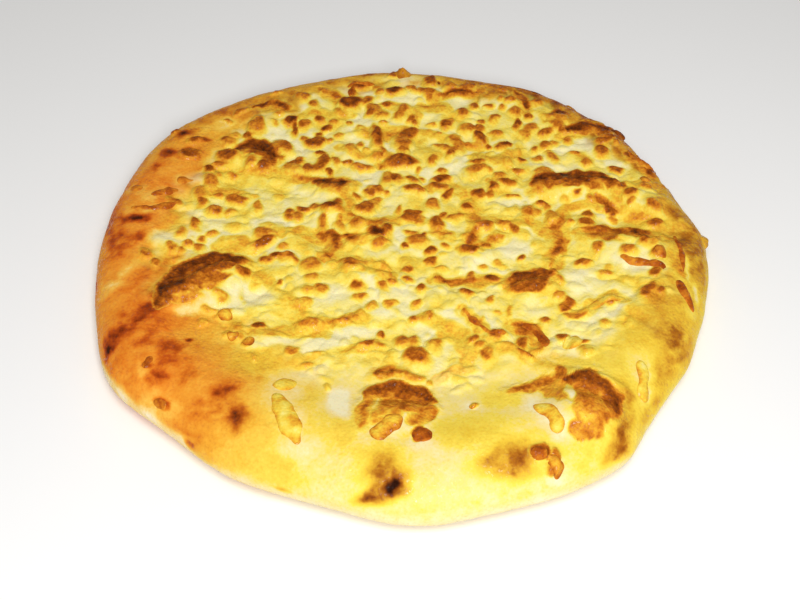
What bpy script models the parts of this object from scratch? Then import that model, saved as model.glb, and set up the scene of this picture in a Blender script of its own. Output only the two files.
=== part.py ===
"""Cheese khachapuri: a flat round loaf with cheese inside and melted on its top.

One piece of food, so one solid: a rounded cake of dough with a flat base, a
rim fatter on one side, blisters and folds on the top, and browned shreds of
cheese standing proud of it. All the sizes below are in millimetres.
"""
import bmesh
import bpy
import numpy as np

MM = 0.001

# The round of dough
RADIUS = 151.5          # mean radius at the widest level
WIDEST_LEVEL = 9.0      # height of the widest level above the base
MIDDLE_HEIGHT = 18.5    # thickness of the loaf in its middle
FOOT_SET_IN = 14.0      # how far the flat base stops short of the widest level
SHOULDER_BACK = 13.0    # width of the rounded edge on the thin side
SHOULDER_MORE = 15.0    # what the fat side has on top of that
RIM_BACK = 1.5          # rise of the rim above the middle on the thin side
RIM_MORE = 5.0          # what the fat side has on top of that
RIM_FALLOFF = 20.0      # distance in which the rim sinks into the middle

# Waves of the hand shaped outline: waves per turn, height, angle of a crest
OUTLINE_WAVES = (
    (1, 2.7, 131.0),
    (2, 1.8, -46.0),
    (3, 1.6, 39.0),
    (4, 0.8, 31.0),
    (5, 1.7, -2.0),
    (7, 1.0, -2.5),
    (8, 0.4, 1.0),
    (10, 0.4, -14.0),
    (11, 0.45, 9.0),
    (12, 0.55, 1.5),
)

# Blunt corners of the outline: angle, half width in degrees, height
OUTLINE_CORNERS = (
    (61.0, 4.0, 2.0),
    (39.0, 5.0, 1.6),
    (6.5, 3.5, 1.4),
    (-28.0, 5.0, 1.0),
    (-50.5, 4.5, 2.2),
    (212.0, 7.0, 1.6),
    (143.0, 8.0, 0.8),
)

# Middle of the loaf on the sheet where the places below were measured
SHEET_MIDDLE = (1.3, 0.6)

# Blisters and folds: x, y, half length, half width, turn, height, and the
# share of the half width that lies behind the crest, where the fall is steep
SWELLINGS = (
    (-94, -22, 28, 18, 38, 7.0, 0.45),
    (-62, -34, 12, 11, -35, 2.5, 0.5),
    (0, -103, 18, 17, 0, 4.0, 0.5),
    (-4, -81, 12, 7, 2, 2.0, 0.5),
    (80, -103, 20, 19, -35, 5.0, 0.5),
    (81, -84, 24, 10, -25, 2.5, 0.5),
    (-77, 70, 14, 13, -15, 3.5, 0.6),
    (90, 48, 26, 14, -2, 4.5, 0.5),
    (62, -26, 15, 11, 15, 4.0, 0.6),
    (110, 4, 28, 17, -12, 3.5, 0.5),
    (124, 36, 21, 15, -8, 3.5, 0.5),
    (92, 22, 18, 11, 8, 2.5, 0.6),
    (-33, 46, 15, 9, 0, 2.5, 0.6),
    (-17, 8, 13, 8, 12, 2.5, 0.6),
    (-12, 18, 13, 7, 0, 2.0, 0.6),
    (-36, 28, 11, 9, 0, 3.0, 0.6),
    (40, -3, 15, 9, 15, 2.5, 0.6),
    (-17, -16, 17, 9, -10, 2.5, 0.6),
    (-98, 56, 12, 8, 15, 2.0, 0.6),
    (-72, 104, 20, 12, 8, 2.0, 0.6),
    (2, 126, 22, 10, 0, 1.5, 0.7),
    (56, 122, 18, 10, -20, 1.5, 0.7),
)

# Creases between them: two ends and half width, depth
CREASES = (
    (-70, 2, -68, -26, 7, 2.0),
    (-66, -30, -52, -46, 7, 1.8),
    (-92, 58, -56, 46, 8, 1.8),
    (84, 30, 106, 16, 8, 1.8),
    (110, 26, 138, 12, 8, 2.5),
    (4, 92, 40, 78, 7, 1.6),
    (-20, 58, 24, 56, 8, 1.2),
    (22, -20, 46, -20, 6, 1.4),
    (-44, -52, 24, -52, 7, 1.2),
    (112, 66, 132, 48, 8, 1.8),
    (-44, 34, -40, 6, 6, 1.2),
)

# Browned shreds and lumps of cheese: x, y, length, width, turn, height above
# the dough. Places were measured on a level sheet 20 mm above the base.
SHREDS = (
    (-8, -111, 15, 9, 25, 1.6),
    (9, -114, 12, 8, 75, 1.8),
    (68, -83, 24, 7, 8, 1.5),
    (92, -90, 20, 7, -50, 1.6),
    (84, -110, 14, 10, 40, 1.5),
    (62, -104, 15, 6, -60, 1.3),
    (64, -130, 14, 8, 70, 1.5),
    (53, -126, 14, 9, 10, 1.2),
    (-48, -104, 28, 8, -68, 1.3),
    (-51, -88, 9, 8, 0, 1.3),
    (118, -11, 24, 6, -15, 1.8),
    (135, -31, 21, 7, -78, 1.8),
    (134, -7, 16, 4, -80, 1.4),
    (108, -83, 23, 7, 82, 1.4),
    (-124, 32, 22, 5, 6, 1.7),
    (-121, 42, 13, 6, 22, 1.6),
    (-111, 50, 7, 6, 0, 1.5),
    (-136, 45, 6, 5, 0, 1.4),
    (-138, -15, 13, 11, 30, 1.3),
    (-4, -140, 11, 9, 0, 1.2),
    (75, 0, 24, 6, 75, 1.6),
    (127, 64, 21, 6, -58, 1.7),
    (-22, 133, 15, 6, 4, 1.4),
    (-27, 116, 12, 10, 0, 1.6),
    (-3, 127, 11, 6, 0, 1.5),
    (-12, 86, 18, 7, 82, 1.5),
    (-58, 96, 16, 7, -75, 1.5),
    (0, 65, 16, 9, 0, 1.6),
    (24, 98, 10, 8, 75, 1.4),
    (35, 107, 10, 8, 20, 1.4),
    (101, 94, 18, 7, -8, 1.6),
    (108, 74, 8, 8, 0, 1.4),
    (86, 106, 12, 8, 0, 1.4),
    (37, 16, 20, 5, 78, 1.5),
    (25, 38, 10, 6, 70, 1.4),
    (8, 42, 12, 7, -25, 1.5),
    (-35, 1, 18, 8, -70, 1.5),
    (-56, -3, 13, 6, -15, 1.5),
    (-68, 4, 12, 7, 15, 1.5),
    (-87, 4, 11, 6, 0, 1.3),
    (-86, 37, 16, 7, 12, 1.4),
    (-94, 27, 9, 8, 0, 1.3),
    (35, -1, 9, 7, 0, 1.5),
    (62, -54, 16, 6, -65, 1.6),
    (43, -56, 12, 6, 0, 1.5),
    (7, -70, 16, 9, -35, 1.5),
    (-15, -62, 12, 6, 15, 1.4),
    (57, -69, 12, 6, -25, 1.4),
    (-82, -44, 7, 7, 0, 1.3),
    (88, -11, 10, 7, 20, 1.4),
)
SHRED_SUNK = 1.0        # how deep the middle of a shred lies under the top
SHREDS_SHEET_HEIGHT = 20.0
EYE_BACK = 442.0        # the eye that read the sheet: distance in front of it
EYE_UP = 426.0          # and height above the sheet

# Tips of crust on the edge: x, y, z, half length, half width, half height, turn
TIPS = (
    (0.0, 143.0, 19.5, 4.5, 4.0, 5.0, 0),
    (149.5, 12.0, 13.0, 5.0, 4.0, 2.6, 60),
    (75.0, 129.5, 17.5, 6.5, 4.0, 3.2, -20),
    (119.0, 95.0, 16.5, 8.0, 4.0, 3.4, -50),
)

# Fineness of the mesh
SEGMENTS = 104
TOP_RINGS = 25
SHOULDER_RINGS = 7
FOOT_RINGS = 4
LUMP_SEGMENTS = 8
LUMP_RINGS = 6

# The plain round that is turned first and then worked into shape
PLAIN_RADIUS = 150.0
PLAIN_SHOULDER = 20.0
PLAIN_HEIGHT = 20.0
PLAIN_FOOT = 136.0

CRUST_COLOUR = (0.83, 0.56, 0.14, 1.0)


def outline_radius(angle):
    """Radius of the widest level at an angle, in millimetres."""
    radius = np.full_like(angle, RADIUS)
    for waves, height, crest in OUTLINE_WAVES:
        radius = radius + height * np.cos(waves * (angle - np.radians(crest)))
    for corner, half_wide, height in OUTLINE_CORNERS:
        away = np.degrees(np.angle(np.exp(1j * (angle - np.radians(corner)))))
        radius = radius + height * np.exp(-((away / half_wide) ** 2))
    return radius


def fatness(angle):
    """1 on the fat side, which faces -Y, and 0 on the thin side."""
    return 0.5 - 0.5 * np.sin(angle)


def shoulder_width(angle):
    """Width of the rounded edge at an angle."""
    return SHOULDER_BACK + SHOULDER_MORE * fatness(angle) ** 1.3


def top_height(x, y):
    """Height of the top before the edge is rounded off, rim and blisters in."""
    distance = np.hypot(x, y)
    angle = np.arctan2(y, x)
    rim = RIM_BACK + RIM_MORE * fatness(angle) ** 1.2
    flat_end = outline_radius(angle) - shoulder_width(angle)
    inward = np.clip(flat_end - distance, 0.0, None)
    height = MIDDLE_HEIGHT + rim * np.exp(-((inward / RIM_FALLOFF) ** 2))
    sheet_x = x + SHEET_MIDDLE[0]
    sheet_y = y + SHEET_MIDDLE[1]
    for place_x, place_y, half_long, half_wide, turn, rise, back in SWELLINGS:
        cos_turn = np.cos(np.radians(turn))
        sin_turn = np.sin(np.radians(turn))
        along = (sheet_x - place_x) * cos_turn + (sheet_y - place_y) * sin_turn
        across = (sheet_y - place_y) * cos_turn - (sheet_x - place_x) * sin_turn
        along = along / half_long
        across = np.where(across > 0.0, across / back, across) / half_wide
        inside = np.clip(1.0 - along ** 2 - across ** 2, 0.0, 1.0)
        height = height + rise * inside ** 1.5
    for start_x, start_y, end_x, end_y, half_wide, depth in CREASES:
        run_x = end_x - start_x
        run_y = end_y - start_y
        share = (sheet_x - start_x) * run_x + (sheet_y - start_y) * run_y
        share = np.clip(share / (run_x ** 2 + run_y ** 2), 0.0, 1.0)
        away_x = sheet_x - start_x - share * run_x
        away_y = sheet_y - start_y - share * run_y
        away = np.hypot(away_x, away_y) / half_wide
        height = height - depth * np.exp(-(away ** 2))
    return height


def surface_height(x, y):
    """Height of the finished top, with its edge rounded off."""
    angle = np.arctan2(y, x)
    shoulder = shoulder_width(angle)
    flat_end = outline_radius(angle) - shoulder
    over = np.clip((np.hypot(x, y) - flat_end) / shoulder, 0.0, 1.0)
    rise = top_height(x, y) - WIDEST_LEVEL
    return WIDEST_LEVEL + rise * np.sqrt(1.0 - over ** 2)


def settle(points):
    """Moves the points of the plain round to their places on the real loaf."""
    x, y, z = points[:, 0], points[:, 1], points[:, 2]
    distance = np.hypot(x, y)
    angle = np.arctan2(y, x)
    widest = outline_radius(angle)
    shoulder = shoulder_width(angle)
    plain_flat = PLAIN_RADIUS - PLAIN_SHOULDER
    on_flat = distance / plain_flat * (widest - shoulder)
    on_shoulder = widest - shoulder
    on_shoulder = on_shoulder + (distance - plain_flat) / PLAIN_SHOULDER * shoulder
    upper = np.where(distance <= plain_flat, on_flat, on_shoulder)
    foot = (widest - FOOT_SET_IN) / PLAIN_FOOT
    turned_in = widest - FOOT_SET_IN
    plain_turn = PLAIN_RADIUS - PLAIN_FOOT
    turned_in = turned_in + (distance - PLAIN_FOOT) / plain_turn * FOOT_SET_IN
    lower = np.where(distance <= PLAIN_FOOT, distance * foot, turned_in)
    is_upper = z >= WIDEST_LEVEL - 1e-3
    new_distance = np.where(is_upper, upper, lower)
    new_x = new_distance * np.cos(angle)
    new_y = new_distance * np.sin(angle)
    share = (z - WIDEST_LEVEL) / (PLAIN_HEIGHT - WIDEST_LEVEL)
    lifted = WIDEST_LEVEL + share * (top_height(new_x, new_y) - WIDEST_LEVEL)
    new_z = np.where(is_upper, lifted, z)
    return np.column_stack((new_x, new_y, new_z))


def half_section():
    """Radius and height of the plain round's half section, base to middle."""
    section = []
    for radius in (0.0, 34.0, 68.0, 102.0):
        section.append((radius, 0.0))
    turn = PLAIN_RADIUS - PLAIN_FOOT
    for step in range(FOOT_RINGS):
        angle = np.pi / 2.0 * step / FOOT_RINGS
        radius = PLAIN_FOOT + turn * np.sin(angle)
        section.append((radius, WIDEST_LEVEL * (1.0 - np.cos(angle))))
    flat_end = PLAIN_RADIUS - PLAIN_SHOULDER
    for step in range(SHOULDER_RINGS):
        angle = np.pi / 2.0 * step / SHOULDER_RINGS
        radius = flat_end + PLAIN_SHOULDER * np.cos(angle)
        height = WIDEST_LEVEL + (PLAIN_HEIGHT - WIDEST_LEVEL) * np.sin(angle)
        section.append((radius, height))
    for ring in range(TOP_RINGS, -1, -1):
        section.append((flat_end * ring / TOP_RINGS, PLAIN_HEIGHT))
    return section


def new_collection(name):
    """A named collection in the scene."""
    collection = bpy.data.collections.new(name)
    bpy.context.scene.collection.children.link(collection)
    return collection


def apply_modifiers(thing):
    """Makes an object's modifiers part of its mesh."""
    bpy.context.view_layer.update()
    graph = bpy.context.evaluated_depsgraph_get()
    mesh = bpy.data.meshes.new_from_object(thing.evaluated_get(graph))
    thing.modifiers.clear()
    thing.data = mesh


def turned_round():
    """The plain round: the half section turned once about the upright axis."""
    section = half_section()
    points = [(radius * MM, 0.0, height * MM) for radius, height in section]
    edges = [(index, index + 1) for index in range(len(points) - 1)]
    mesh = bpy.data.meshes.new("khachapuri section")
    mesh.from_pydata(points, edges, [])
    thing = bpy.data.objects.new("khachapuri", mesh)
    new_collection("cheese khachapuri").objects.link(thing)
    screw = thing.modifiers.new("turn", "SCREW")
    screw.axis = "Z"
    screw.angle = 2.0 * np.pi
    screw.steps = SEGMENTS
    screw.render_steps = SEGMENTS
    screw.use_merge_vertices = True
    screw.merge_threshold = 0.00001
    apply_modifiers(thing)
    return thing


def shape_body(thing):
    """Works the plain round into the loaf, and turns its faces outward."""
    mesh = thing.data
    count = len(mesh.vertices)
    flat = np.empty(count * 3)
    mesh.vertices.foreach_get("co", flat)
    points = flat.reshape(count, 3) / MM
    shaped = settle(points) * MM
    mesh.vertices.foreach_set("co", shaped.ravel())
    mesh.update()
    tidy_mesh(mesh)


def tidy_mesh(mesh):
    """Joins doubled points and turns every face outward."""
    work = bmesh.new()
    work.from_mesh(mesh)
    bmesh.ops.remove_doubles(work, verts=work.verts, dist=0.00001)
    bmesh.ops.triangulate(work, faces=work.faces)
    bmesh.ops.recalc_face_normals(work, faces=work.faces)
    work.to_mesh(mesh)
    work.free()


def sheet_to_surface(sheet_x, sheet_y):
    """Where the line of sight through a place on the sheet meets the top."""
    x = np.array([sheet_x - SHEET_MIDDLE[0]], dtype=float)
    y = np.array([sheet_y - SHEET_MIDDLE[1]], dtype=float)
    near_x, near_y = x, y
    for _ in range(6):
        above = surface_height(near_x, near_y) - SHREDS_SHEET_HEIGHT
        share = above / EYE_UP
        near_x = x * (1.0 - share)
        near_y = y - share * (y + EYE_BACK)
    return float(near_x[0]), float(near_y[0])


def add_lump(name, collection, place, half_sizes, turn):
    """A rounded lump: a sphere stretched to its half sizes and turned."""
    bpy.ops.mesh.primitive_uv_sphere_add(
        segments=LUMP_SEGMENTS,
        ring_count=LUMP_RINGS,
        radius=MM,
        location=[value * MM for value in place],
        rotation=(0.0, 0.0, np.radians(turn)),
    )
    lump = bpy.context.active_object
    lump.name = name
    lump.scale = half_sizes
    for home in list(lump.users_collection):
        home.objects.unlink(lump)
    collection.objects.link(lump)


def add_shreds(collection):
    """Shreds of melted cheese, each sunk to about its middle in the top."""
    for number, shred in enumerate(SHREDS):
        sheet_x, sheet_y, length, width, turn, rise = shred
        x, y = sheet_to_surface(sheet_x, sheet_y)
        level = float(surface_height(np.array([x]), np.array([y]))[0])
        place = (x, y, level - SHRED_SUNK)
        half_sizes = (length / 2.0, width / 2.0, rise + SHRED_SUNK)
        add_lump(f"shred {number + 1}", collection, place, half_sizes, turn)


def add_tips(collection):
    """Tips of crust that break the edge's round."""
    for number, tip in enumerate(TIPS):
        x, y, z, half_long, half_wide, half_high, turn = tip
        half_sizes = (half_long, half_wide, half_high)
        add_lump(f"tip {number + 1}", collection, (x, y, z), half_sizes, turn)


def fuse_shreds(thing):
    """Joins the lumps to the loaf in one union."""
    collection = new_collection("shreds")
    add_shreds(collection)
    add_tips(collection)
    union = thing.modifiers.new("melted on", "BOOLEAN")
    union.operation = "UNION"
    union.solver = "EXACT"
    union.operand_type = "COLLECTION"
    union.collection = collection
    apply_modifiers(thing)
    for lump in list(collection.objects):
        bpy.data.objects.remove(lump, do_unlink=True)
    bpy.data.collections.remove(collection)
    tidy_mesh(thing.data)


def crust_material():
    """Baked crust: a soft sheen over a golden brown."""
    material = bpy.data.materials.new("baked crust")
    material.use_nodes = True
    shader = material.node_tree.nodes["Principled BSDF"]
    shader.inputs["Base Color"].default_value = CRUST_COLOUR
    shader.inputs["Roughness"].default_value = 0.5
    return material


def build():
    """The whole loaf."""
    for thing in list(bpy.data.objects):
        bpy.data.objects.remove(thing, do_unlink=True)
    loaf = turned_round()
    shape_body(loaf)
    fuse_shreds(loaf)
    loaf.data.name = "khachapuri"
    loaf.data.materials.clear()
    loaf.data.materials.append(crust_material())
    loaf.data.shade_smooth()


build()
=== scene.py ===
# %% [markdown]
# # A cheese khachapuri
# This lesson dresses one flat round loaf: dough with cheese in it, an egg
# washed rim that the oven turned yellow, orange and brown, and melted cheese
# on its top that browned wherever it stood up. The plain solid of the loaf is
# the frame. Everything that shows is worked out here as surfaces in numpy, in
# millimetres, and laid exactly where that solid is.

# %% The frame
import math

import bpy
import numpy as np
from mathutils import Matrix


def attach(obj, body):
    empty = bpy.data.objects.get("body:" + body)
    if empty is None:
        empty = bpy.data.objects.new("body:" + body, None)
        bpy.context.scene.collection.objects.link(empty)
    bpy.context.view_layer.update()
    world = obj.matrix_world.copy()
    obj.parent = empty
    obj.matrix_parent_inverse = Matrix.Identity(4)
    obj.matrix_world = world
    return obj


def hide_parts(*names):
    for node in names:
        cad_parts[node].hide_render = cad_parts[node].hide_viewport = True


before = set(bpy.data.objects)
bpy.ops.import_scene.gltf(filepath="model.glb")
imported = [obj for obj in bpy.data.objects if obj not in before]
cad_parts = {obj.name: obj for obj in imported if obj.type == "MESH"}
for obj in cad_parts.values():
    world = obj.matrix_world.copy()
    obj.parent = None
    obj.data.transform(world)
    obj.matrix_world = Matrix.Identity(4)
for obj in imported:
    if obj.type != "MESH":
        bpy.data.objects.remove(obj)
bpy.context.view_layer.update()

MM = 0.001

# %% [markdown]
# ## The camera
# The loaf was seen from the front and above, from near enough that its front
# half looks larger than its back half. A camera 0.6 m from the loaf, 46
# degrees up, gives that. The loaf's middle lies a little above the middle of
# the view, so the camera aims at a point in front of it.

# %% Camera
EYE_DISTANCE = 600.0
EYE_ELEVATION = 46.3
AIM = np.array([-1.3, -27.6, 12.0])
FOCAL_PIXELS = 1248.0
VIEW_WIDTH = 800.0
SENSOR = 36.0

tilt = math.radians(EYE_ELEVATION)
EYE = AIM + EYE_DISTANCE * np.array([0.0, -math.cos(tilt), math.sin(tilt)])

scene = bpy.context.scene
camera_data = bpy.data.cameras.new("camera")
camera_data.sensor_width = SENSOR
camera_data.lens = SENSOR * FOCAL_PIXELS / VIEW_WIDTH
camera_data.clip_start = 0.01
camera = bpy.data.objects.new("camera", camera_data)
camera.location = EYE * MM
camera.rotation_euler = (math.pi / 2.0 - tilt, 0.0, 0.0)
scene.collection.objects.link(camera)
scene.camera = camera
print("the eye is at", np.round(EYE * MM, 4), "m, lens", round(camera_data.lens, 2), "mm")

# %% [markdown]
# ## The round of dough
# The dough was rolled and folded by hand, so its outline is a circle with a
# few slow waves and blunt corners. Its rim is thin and low on the far side,
# and fat on the near side. A sum of cosines is the plainest way to write such
# an outline, and a bell curve at an angle makes a corner.

# %% Outline and rim
RADIUS = 151.5
WIDEST_LEVEL = 9.0
MIDDLE_HEIGHT = 18.5
FOOT_SET_IN = 14.0
# width of the rounded shoulder on the far side, and what the near side adds
FAR_SHOULDER, NEAR_SHOULDER_EXTRA = 13.0, 15.0
# rise of the rim over the middle, the same way, and how far inward it reaches
FAR_RIM_RISE, NEAR_RIM_EXTRA, RIM_FALL = 1.5, 5.0, 20.0
# how many waves go round, height in mm, and the angle of a crest in degrees
OUTLINE_WAVES = (
    (1, 2.7, 131.0), (2, 1.8, -46.0), (3, 1.6, 39.0), (4, 0.8, 31.0), (5, 1.7, -2.0),
    (7, 1.0, -2.5), (8, 0.4, 1.0), (10, 0.4, -14.0), (11, 0.45, 9.0), (12, 0.55, 1.5),
)
# angle, half width in degrees, and height in mm
OUTLINE_CORNERS = (
    (61.0, 4.0, 2.0), (39.0, 5.0, 1.6), (6.5, 3.5, 1.4), (-28.0, 5.0, 1.0),
    (-50.5, 4.5, 2.2), (212.0, 7.0, 1.6), (143.0, 8.0, 0.8),
)


def smooth(start, end, value):
    """0 before start, 1 after end, and 3t^2 - 2t^3 between them."""
    share = np.clip((value - start) / (end - start), 0.0, 1.0)
    return share * share * (3.0 - 2.0 * share)


def outline_radius(angle):
    """Mean radius, plus a cosine for each wave, plus a bell curve for each corner."""
    radius = np.full_like(angle, RADIUS)
    for waves, height, crest in OUTLINE_WAVES:
        radius = radius + height * np.cos(waves * (angle - np.radians(crest)))
    for corner, half_wide, height in OUTLINE_CORNERS:
        away = np.degrees(np.angle(np.exp(1j * (angle - np.radians(corner)))))
        radius = radius + height * np.exp(-((away / half_wide) ** 2))
    return radius


def fatness(angle):
    """1 on the near side and 0 on the far side: half of 1 minus the sine."""
    return 0.5 - 0.5 * np.sin(angle)


def shoulder_width(angle):
    """The width on the far side, plus a share of the near side's extra width."""
    return FAR_SHOULDER + NEAR_SHOULDER_EXTRA * fatness(angle) ** 1.3


all_round = np.radians(np.arange(0.0, 360.0, 1.0))
radii = outline_radius(all_round)
print("radius from", round(radii.min(), 1), "to", round(radii.max(), 1), "mm")

# %% [markdown]
# ## Blisters, folds and creases
# Steam lifted the dough in blisters, and the cheese ran into folds. Seen from
# the front each has a gentle near slope and a steep far side. A blister is a
# dome (1 - u^2 - v^2) to the power 1.5, with v squeezed behind its crest. Its
# places were read on a level sheet, whose middle isn't quite the loaf's. All
# lengths are in millimetres and all turns in degrees.

# %% Large forms of the top
SHEET_MIDDLE = (1.3, 0.6)
# x, y, half length, half width, turn, rise, and how far the far side is squeezed
SWELLINGS = (
    (-94, -22, 28, 18, 38, 7.0, 0.45), (-62, -34, 12, 11, -35, 2.5, 0.5),
    (0, -103, 18, 17, 0, 4.0, 0.5), (-4, -81, 12, 7, 2, 2.0, 0.5),
    (80, -103, 20, 19, -35, 5.0, 0.5), (81, -84, 24, 10, -25, 2.5, 0.5),
    (-77, 70, 14, 13, -15, 3.5, 0.6), (90, 48, 26, 14, -2, 4.5, 0.5),
    (62, -26, 15, 11, 15, 4.0, 0.6), (110, 4, 28, 17, -12, 3.5, 0.5),
    (124, 36, 21, 15, -8, 3.5, 0.5), (92, 22, 18, 11, 8, 2.5, 0.6),
    (-33, 46, 15, 9, 0, 2.5, 0.6), (-17, 8, 13, 8, 12, 2.5, 0.6),
    (-12, 18, 13, 7, 0, 2.0, 0.6), (-36, 28, 11, 9, 0, 3.0, 0.6),
    (40, -3, 15, 9, 15, 2.5, 0.6), (-17, -16, 17, 9, -10, 2.5, 0.6),
    (-98, 56, 12, 8, 15, 2.0, 0.6), (-72, 104, 20, 12, 8, 2.0, 0.6),
    (2, 126, 22, 10, 0, 1.5, 0.7), (56, 122, 18, 10, -20, 1.5, 0.7),
)
# the two ends, half width and depth
CREASES = (
    (-70, 2, -68, -26, 7, 2.0), (-66, -30, -52, -46, 7, 1.8), (-92, 58, -56, 46, 8, 1.8),
    (84, 30, 106, 16, 8, 1.8), (110, 26, 138, 12, 8, 2.5), (4, 92, 40, 78, 7, 1.6),
    (-20, 58, 24, 56, 8, 1.2), (22, -20, 46, -20, 6, 1.4), (-44, -52, 24, -52, 7, 1.2),
    (112, 66, 132, 48, 8, 1.8), (-44, 34, -40, 6, 6, 1.2),
)


def in_ellipse(x, y, place_x, place_y, half_long, half_wide, turn):
    """Distances along and across a turned ellipse, in half lengths and half widths."""
    cos_turn, sin_turn = math.cos(math.radians(turn)), math.sin(math.radians(turn))
    along = ((x - place_x) * cos_turn + (y - place_y) * sin_turn) / half_long
    across = ((y - place_y) * cos_turn - (x - place_x) * sin_turn) / half_wide
    return along, across


def from_line(x, y, start, end):
    """Distance from a stretch of straight line, the sine of the angle at which a
    place lies off it (1 on its left, -1 on its right), and how far along it is."""
    run_x, run_y = end[0] - start[0], end[1] - start[1]
    share = ((x - start[0]) * run_x + (y - start[1]) * run_y) / (run_x ** 2 + run_y ** 2)
    share = np.clip(share, 0.0, 1.0)
    away_x, away_y = x - start[0] - share * run_x, y - start[1] - share * run_y
    away = np.hypot(away_x, away_y)
    side = (run_x * away_y - run_y * away_x) / (math.hypot(run_x, run_y) * (away + 1e-6))
    return away, side, share


def top_height(x, y):
    """Middle height, plus the rim's bell curve, plus the domes, less the creases."""
    distance, angle = np.hypot(x, y), np.arctan2(y, x)
    flat_end = outline_radius(angle) - shoulder_width(angle)
    inward = np.clip(flat_end - distance, 0.0, None)
    rim = FAR_RIM_RISE + NEAR_RIM_EXTRA * fatness(angle) ** 1.2
    height = MIDDLE_HEIGHT + rim * np.exp(-((inward / RIM_FALL) ** 2))
    sheet_x, sheet_y = x + SHEET_MIDDLE[0], y + SHEET_MIDDLE[1]
    for place_x, place_y, half_long, half_wide, turn, rise, back in SWELLINGS:
        along, across = in_ellipse(sheet_x, sheet_y, place_x, place_y, half_long, half_wide, turn)
        across = np.where(across > 0.0, across / back, across)
        height = height + rise * np.clip(1.0 - along ** 2 - across ** 2, 0.0, 1.0) ** 1.5
    for start_x, start_y, end_x, end_y, half_wide, depth in CREASES:
        away = from_line(sheet_x, sheet_y, (start_x, start_y), (end_x, end_y))[0]
        height = height - depth * np.exp(-((away / half_wide) ** 2))
    return height


print(len(SWELLINGS), "blisters and folds, and", len(CREASES), "creases between them")

# %% [markdown]
# ## One skin round the whole loaf
# The top, the rounded rim and the side under it are one skin, down to the flat
# base. A point on it is given by its angle and by its distance from the middle
# measured along the skin, as if the rim were rolled out flat. That keeps spots
# on the steep rim from being stretched, and one function serves the top, the
# rim and the shreds that lie on them.

# %% The skin as a function
QUARTER = math.pi / 2.0
LOWER_ARC = 12.0


def shoulder_start(angle):
    """Where the top begins to round over into the rim."""
    return outline_radius(angle) - shoulder_width(angle)


def skin_lean(along, angle):
    """How far the skin leans outward: 0 on the top, a quarter turn at the widest level."""
    over = (along - shoulder_start(angle)) / shoulder_width(angle)
    under = QUARTER + (over - QUARTER) * shoulder_width(angle) / LOWER_ARC
    return np.clip(np.where(over < QUARTER, over, under), 0.0, math.pi)


def skin_point(along, angle):
    """The point and the outward direction of the skin.

    On the top the radius is the distance along the skin. On the shoulder the
    radius grows with the sine of the lean and the height falls with its
    cosine; under the widest level a second, lower arc turns in to the base.
    """
    lean = skin_lean(along, angle)
    start, width = shoulder_start(angle), shoulder_width(angle)
    upper = np.where(lean > 0.0, start + width * np.sin(lean), along)
    lower = start + width - FOOT_SET_IN * (1.0 - np.sin(lean))
    radius = np.where(lean <= QUARTER, upper, lower)
    x, y = radius * np.cos(angle), radius * np.sin(angle)
    rise = np.where(lean <= QUARTER, top_height(x, y) - WIDEST_LEVEL, WIDEST_LEVEL)
    z = WIDEST_LEVEL + rise * np.cos(lean)
    out = np.sin(lean)
    outward = np.stack([out * np.cos(angle), out * np.sin(angle), np.cos(lean)], -1)
    return np.stack([x, y, z], -1), outward


print("the shoulder begins", round(float(shoulder_start(all_round).min())), "mm out, or further")

# %% [markdown]
# The spots were read where they seem to lie on a level sheet 20 mm
# high. A line of sight from the camera carries each of them to the skin. That
# way a spot on a high blister or on the low rim shows where it was seen.

# %% From the reading sheet to the skin
READING_LEVEL = 20.0
SIGHT_LEVELS = np.arange(48.0, 0.0, -0.1)
# The sine of the steepest lean that a line of sight is carried to
STEEPEST = 0.985


def place_on_skin(read_x, read_y):
    """Where the line of sight through a place on the reading sheet first meets
    the skin. Points are taken on the line every 0.1 mm of height, from the eye
    down. The first one under the skin counts, rolled out along the skin."""
    start = np.array([read_x - SHEET_MIDDLE[0], read_y - SHEET_MIDDLE[1], READING_LEVEL])
    share = (SIGHT_LEVELS - READING_LEVEL) / (EYE[2] - READING_LEVEL)
    sight = start + (EYE - start) * share[:, None]
    angle, distance = np.arctan2(sight[:, 1], sight[:, 0]), np.hypot(sight[:, 0], sight[:, 1])
    over = (distance - shoulder_start(angle)) / shoulder_width(angle)
    lean = np.arcsin(np.clip(over, 0.0, STEEPEST))
    skin_z = WIDEST_LEVEL + (top_height(sight[:, 0], sight[:, 1]) - WIDEST_LEVEL) * np.cos(lean)
    hit = int(np.argmax(skin_z >= SIGHT_LEVELS))
    rolled = shoulder_start(angle) + shoulder_width(angle) * lean
    along = np.where(lean > 0.0, rolled, distance)[hit]
    return float(along * np.cos(angle[hit])), float(along * np.sin(angle[hit]))


def seen_from_the_eye(points):
    """Where the lines of sight through points meet the level reading sheet: the
    eye, plus the way from the eye to the point, made longer or shorter."""
    share = (EYE[2] - READING_LEVEL) / (EYE[2] - points[..., 2])
    return (EYE[axis] + (points[..., axis] - EYE[axis]) * share + SHEET_MIDDLE[axis] for axis in (0, 1))


print("a place read at the near rim rolls out to", np.round(place_on_skin(-4, -140), 1))

# %% [markdown]
# ## The rolled out sheet
# Small relief and browning are drawn on a square grid of half millimetre
# cells, the loaf's skin rolled out flat. Every drop of cheese is a small
# stamp on it. The pieces then read the grid where their points lie. A slow
# noise bends the grid first, so that no stamp keeps a perfect outline. Four
# layers of the grid move the skin: relief, lumps, ring and dip. The others
# say how browned, golden, creamy, cheesy, baked and warm each place is.

# %% The sheet and its noise
SHEET_HALF = 185.0
CELL = 0.5
CELLS = int(2 * SHEET_HALF / CELL)
LATTICE = 256
SHEET_LAYERS = ("relief", "lumps", "ring", "dip", "brown", "gold", "cream", "cheese", "bake", "warm")
centres = (np.arange(CELLS) + 0.5) * CELL - SHEET_HALF
SHEET_X, SHEET_Y = np.meshgrid(centres, centres)


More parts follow.
